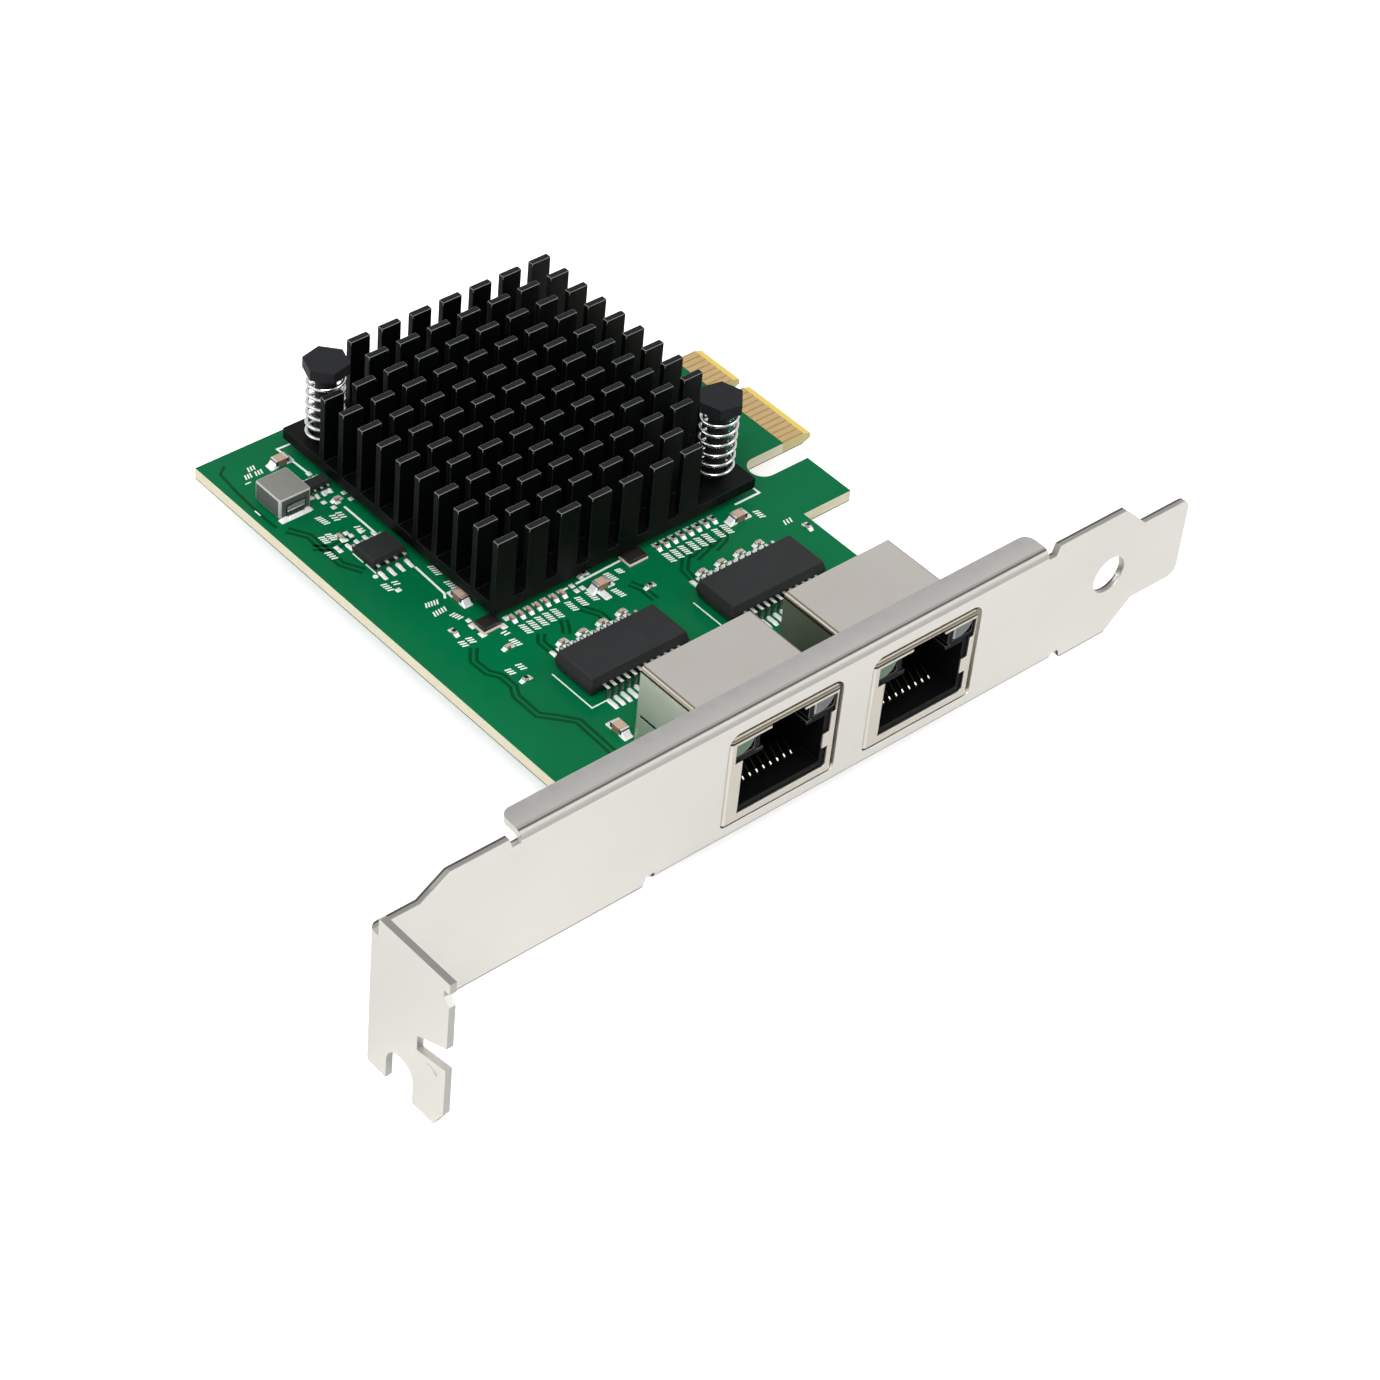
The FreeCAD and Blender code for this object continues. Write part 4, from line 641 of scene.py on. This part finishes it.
sleeve_level, sleeve_depth, wire_glint = 7.3 * mm, 3.0 * mm, 2.6 * mm
between_jacks, lip_depth = 68 * mm, 0.6 * mm
shield_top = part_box("jack_shield_left")[1].z
roll_level = shield_top - 0.7 * mm
shade_line_low, shade_line_high = shield_top - 0.85 * mm, shield_top - 0.50 * mm


def moulded_black(s):
    grain, place = s.grain(0.15 * mm, 4.0), s.place()
    colour = s.blend(grain, shade(4, 4, 5), shade(9, 9, 10))
    # Painted highlight on the rounded edges of the sleeves round the light pipes.
    sleeve_highlight = s.edge() * (place.axis("Z") > sleeve_level) * (place.axis("Y") < sleeve_depth)
    return {"Base Color": s.blend(sleeve_highlight, colour, shade(92, 92, 94)),
            "Roughness": 0.5 + grain * 0.12, "Normal": s.relief(grain, 0.006 * mm)}


def sprung_gold(s):
    # Painted light: the wires are pale near the jack's mouth, where they glint, and near black
    # deeper in, where they lie in shade.
    near = s.place().axis("Y") < wire_glint
    return {"Base Color": s.blend(near, shade(18, 14, 9), shade(206, 200, 186)),
            "Roughness": 0.26 + s.grain(0.2 * mm) * 0.1}


def tin_plate(s):
    rolled = s.grain(0.4 * mm, 3.0, (1.0, 0.08, 1.0))
    clouds = s.grain(7 * mm, 2.0)
    place, facing = s.place(), s.facing()
    z, up = place.axis("Z"), facing.axis("Z")
    # Painted shade: the shell's front faces are a little darker.
    front = facing.axis("Y") < -0.95
    # Painted shade on the right jack's side that faces the left jack.
    between = (facing.axis("X") < -0.95) * (place.axis("X") > between_jacks)
    # Painted shade on the rolled top edge under the bracket's window edge, darkest at its front
    # lip.
    roll = (z > roll_level) * s.edge() * (up > 0.12)
    # Painted shade: a dark line on the upright faces just below the rolled top.
    under_roll_shade = (up < 0.12) * (z > shade_line_low) * (z < shade_line_high)
    plate = s.layered(
        s.blend(clouds, shade(230, 224, 216), shade(240, 235, 228)),
        (front, shade(218, 212, 203)), (between, shade(156, 154, 142)),
        (roll, shade(168, 161, 148)), (roll * (place.axis("Y") < lip_depth), shade(132, 126, 114)),
        (under_roll_shade, shade(72, 68, 60)))
    upright = (up < 0.12) * (up > -0.12)
    return {"Base Color": plate, "Roughness": 0.24 + rolled * 0.06 + clouds * 0.05 + upright * 0.2,
            "Normal": s.relief(rolled, 0.002 * mm)}


def light_pipe(dark, light, rim):
    """Clear plastic, tinted inside, which catches the light along its rim."""
    return lambda s: {
        "Base Color": s.blend(s.edge(), s.blend(s.grain(0.8 * mm), shade(*dark), shade(*light)),
                              shade(*rim)),
        "Roughness": 0.3 + s.grain(0.4 * mm) * 0.1}


pipe_gloss = {"Specular IOR Level": 0.5, "Coat Weight": 0.3}
for node, width, material in (
        ("jack_housing_", 0.06, finish("jack_black", {"Specular IOR Level": 0.12}, moulded_black)),
        ("jack_wires_", 0.03, finish("wire_gold", {"Metallic": 1.0}, sprung_gold)),
        ("jack_shield_", 0.09, finish("jack_tin", {"Metallic": 1.0}, tin_plate)),
        ("link_light_", 0.20, finish("green_pipe", pipe_gloss, light_pipe(
            (60, 90, 62), (78, 108, 80), (128, 152, 128)))),
        ("activity_light_", 0.20, finish("clear_pipe", pipe_gloss, light_pipe(
            (78, 80, 83), (100, 102, 105), (160, 162, 164))))):
    for side in ("left", "right"):
        dress(node + side, material, width)


# Transformer modules: two black moulded packages, each with twelve tinned leads a side that
# bend down to the board and are soldered to it.

def package_black(s):
    grain = s.grain(0.10 * mm, 5.0)
    clouds = s.grain(3 * mm, 2.0)
    return {"Base Color": s.blend(clouds, shade(36, 37, 38), shade(45, 46, 47)),
            "Roughness": 0.52 + grain * 0.12, "Normal": s.relief(grain, 0.008 * mm)}


foot_level = 0.3 * mm


def bright_tin(s):
    # Painted shade: the steep parts of the leads above the feet are painted dark.
    steep_shade = (s.facing().axis("Z") < 0.8) * (s.place().axis("Z") > foot_level)
    tone = s.blend(s.grain(0.3 * mm), shade(226, 226, 224), shade(246, 246, 244))
    return {"Base Color": s.blend(steep_shade, tone, shade(96, 100, 96)),
            "Roughness": 0.20 + s.grain(0.2 * mm) * 0.14}


package_mould = finish("package_mould", {"Specular IOR Level": 0.22}, package_black)
lead_tin = finish("lead_tin", {"Metallic": 0.7}, bright_tin)
for side in ("left", "right"):
    dress("magnetics_" + side, package_mould, 0.14, 20.0)
    dress("magnetics_leads_" + side, lead_tin, 0.05)


# Controller and heat sink: a ball-grid package, a soft grey pad and an aluminium extrusion,
# sawn across into pin fins and anodised black. Saw marks show on the fins' ends. The fins'
# rounded edges carry a painted highlight, brightest along their top rims, and their flat tops
# are painted a little lighter, as light falling from above.

fin_rims, fin_tops = 11.6 * mm, 11.8 * mm


def anodised(s):
    sawn = s.grain(0.22 * mm, 4.0, (1.0, 1.0, 0.2))
    z, slant = s.place().axis("Z"), s.edge()
    colour = s.layered(
        s.blend(s.grain(5 * mm, 2.0), shade(0, 1, 1), shade(1, 2, 2)),
        # Painted light: lighter fin tops, and a highlight on rounded edges, brightest on the top
        # rims.
        ((s.facing().axis("Z") > 0.7) * (z > fin_tops), shade(22, 24, 25)),
        (slant, shade(24, 26, 26)), (slant * (z > fin_rims), shade(126, 128, 128)))
    return {"Base Color": colour, "Roughness": 0.42 + sawn * 0.14,
            "Normal": s.relief(sawn, 0.010 * mm)}


dress("heat_sink", finish("sink_black", {"Specular IOR Level": 0.16}, anodised), 0.06)
dress("controller_chip", package_mould)
dress("thermal_pad", finish("pad_grey", {"Specular IOR Level": 0.2},
                            speckled(0.4, (150, 150, 152), (172, 172, 174), 0.8)))


# Push pins: black nylon mouldings whose split barbs hold the heat sink to the board, each
# with a coil spring of bright wire that keeps the heat sink pressed on the controller.

def pin_nylon(s):
    grain = s.grain(0.2 * mm, 4.0)
    return {"Base Color": s.blend(grain, shade(22, 23, 26), shade(30, 31, 35)),
            "Roughness": 0.45 + grain * 0.12, "Normal": s.relief(grain, 0.006 * mm)}


dress("push_pins", finish("pin_black", {"Specular IOR Level": 0.22}, pin_nylon), 0.12, 28.0)

spring_radius, spring_wire, spring_turns = 2.2 * mm, 0.24 * mm, 6.5
closed_turns, closed_share = 0.9, 0.12
steps_a_turn, wire_sides = 40, 10
spring_bright = finish("spring_bright", {"Metallic": 1.0}, speckled(
    0.3, (220, 221, 222), (244, 244, 244), 0.12, fine=0.25))


def coil(name, low, high, middle):
    """A compression spring: round wire whose first and last turns close up flat."""
    count = int(spring_turns * steps_a_turn)
    open_turns = spring_turns - 2 * closed_turns
    spine = []
    for k in range(count + 1):
        turn = k / count * spring_turns
        wound = min(max((turn - closed_turns) / open_turns, 0.0), 1.0)
        climb = closed_share * min(turn / closed_turns, 1.0) + (1 - 2 * closed_share) * wound
        climb += closed_share * max((turn - closed_turns - open_turns) / closed_turns, 0.0)
        angle = 2 * math.pi * turn
        spine.append(Vector((middle.x + spring_radius * math.cos(angle),
                             middle.y + spring_radius * math.sin(angle),
                             low + (high - low) * climb)))
    shape = bmesh.new()
    rings = []
    for k, point in enumerate(spine):
        along = (spine[min(k + 1, count)] - spine[max(k - 1, 0)]).normalized()
        out = Vector((point.x - middle.x, point.y - middle.y, 0)).normalized()
        up = along.cross(out)
        ring = []
        for j in range(wire_sides):
            angle = 2 * math.pi * j / wire_sides
            ring.append(shape.verts.new(point + out * spring_wire * math.cos(angle)
                                        + up * spring_wire * math.sin(angle)))
        rings.append(ring)
    for near, far in zip(rings, rings[1:]):
        for j in range(wire_sides):
            other = (j + 1) % wire_sides
            shape.faces.new((near[j], near[other], far[other], far[j])).smooth = True
    shape.faces.new(rings[0][::-1])
    shape.faces.new(rings[-1])
    bmesh.ops.recalc_face_normals(shape, faces=shape.faces)
    return new_piece(name, shape)


for side in ("left", "right"):
    low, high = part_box("push_pin_spring_" + side)
    piece = coil("spring_" + side, low.z + spring_wire, high.z - spring_wire, (low + high) / 2)
    piece.data.materials.append(spring_bright)
    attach(piece, "root")
    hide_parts("push_pin_spring_" + side)


# Flash memory and supply regulator: small moulded packages on bright tinned leads, which are
# soldered to the board.

for node, width in (("flash_memory", 0.10), ("regulator", 0.07)):
    dress(node, package_mould, width, 20.0)
    dress(node + "_leads", lead_tin, 0.04)


# Power inductor: iron powder pressed round a coil, light grey on top, with tinned clips that
# fold under its two ends. Its sides are painted darker and greenish, as shade and the board's
# reflection, and its rounded edges carry a painted highlight. One clip shows in a recess of the
# front face, whose shade is painted on a thin dark plate.

def pressed_powder(s):
    specks = s.grain(0.18 * mm, 5.0)
    # Painted shade and green board reflection on the sides; painted highlight on the rounded edges.
    side = s.blend(specks, shade(70, 76, 72), shade(92, 97, 92))
    top = s.blend(specks, shade(118, 118, 113), shade(138, 137, 131))
    colour = s.layered(side, (s.top(), top), (s.edge(), shade(184, 184, 178)))
    return {"Base Color": colour, "Roughness": 0.6 + specks * 0.15,
            "Normal": s.relief(specks, 0.02 * mm)}


dress("inductor", finish("powder_grey", {"Specular IOR Level": 0.3}, pressed_powder), 0.16, 30.0)
dress("inductor_terminals", lead_tin, 0.06)


def slab(name, low, high, material):
    """A small plate on the inductor's front face, between two corners given in millimetres."""
    mesh = bpy.data.meshes.new(name)
    mesh.from_pydata([(x * mm, y * mm, z * mm) for z in (low[2], high[2])
                      for y in (low[1], high[1]) for x in (low[0], high[0])], [],
                     [(0, 1, 5, 4), (2, 6, 7, 3), (0, 4, 6, 2), (1, 3, 7, 5),
                      (4, 5, 7, 6), (0, 2, 3, 1)])
    piece = bpy.data.objects.new(name, mesh)
    bpy.context.collection.objects.link(piece)
    piece.data.materials.append(material)
    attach(piece, "root")


# A thin dark plate painted as the shade in the clip's recess.
slab("clip_recess_shade", (40.35, 68.36, 0.25), (43.15, 68.415, 1.95), finish(
    "painted_recess_shade", {"Specular IOR Level": 0.2}, speckled(0.2, (22, 26, 23), (36, 40, 36), 0.6)))
slab("coil_clip", (40.5, 68.32, 0.3), (43.0, 68.38, 1.75), finish(
    "clip_tin", {"Metallic": 0.3}, speckled(0.5, (132, 140, 132), (158, 164, 156), 0.4)))


# Crystals: pale ceramic trays with a dark plated lid welded on, soldered to the board by pads
# on their undersides.

dress("crystal_trays", finish("tray_pale", {"Specular IOR Level": 0.5}, speckled(
    0.2, (196, 184, 176), (220, 208, 198), 0.4)), 0.08)
dress("crystal_lids", finish("lid_dark", {"Metallic": 0.8}, speckled(
    0.5, (64, 60, 58), (84, 80, 77), 0.3, fine=0.3)), 0.08)


# Capacitors and resistors: ceramic chips with plated ends. Capacitors are tan all through,
# and resistors have a black glaze on top.

def tan_ceramic(s):
    specks = s.grain(0.2 * mm, 4.0)
    # Painted shade: the sides are a darker copy of the tan on top.
    side = s.blend(specks, shade(130, 104, 84), shade(152, 126, 104))
    top = s.blend(specks, shade(184, 154, 132), shade(206, 178, 156))
    return {"Base Color": s.blend(s.top(), side, top), "Roughness": 0.45 + specks * 0.1}


def black_glaze(s):
    return {"Base Color": s.blend(s.top(), shade(206, 202, 192), shade(26, 26, 28)),
            "Roughness": 0.28 + s.grain(0.2 * mm) * 0.1}


dress("capacitors", finish("capacitor_tan", {"Specular IOR Level": 0.45}, tan_ceramic), 0.03)
dress("resistors", finish("resistor_black", {"Specular IOR Level": 0.5}, black_glaze), 0.03)
for node in ("capacitor_ends", "resistor_ends"):
    dress(node, lead_tin, 0.06)
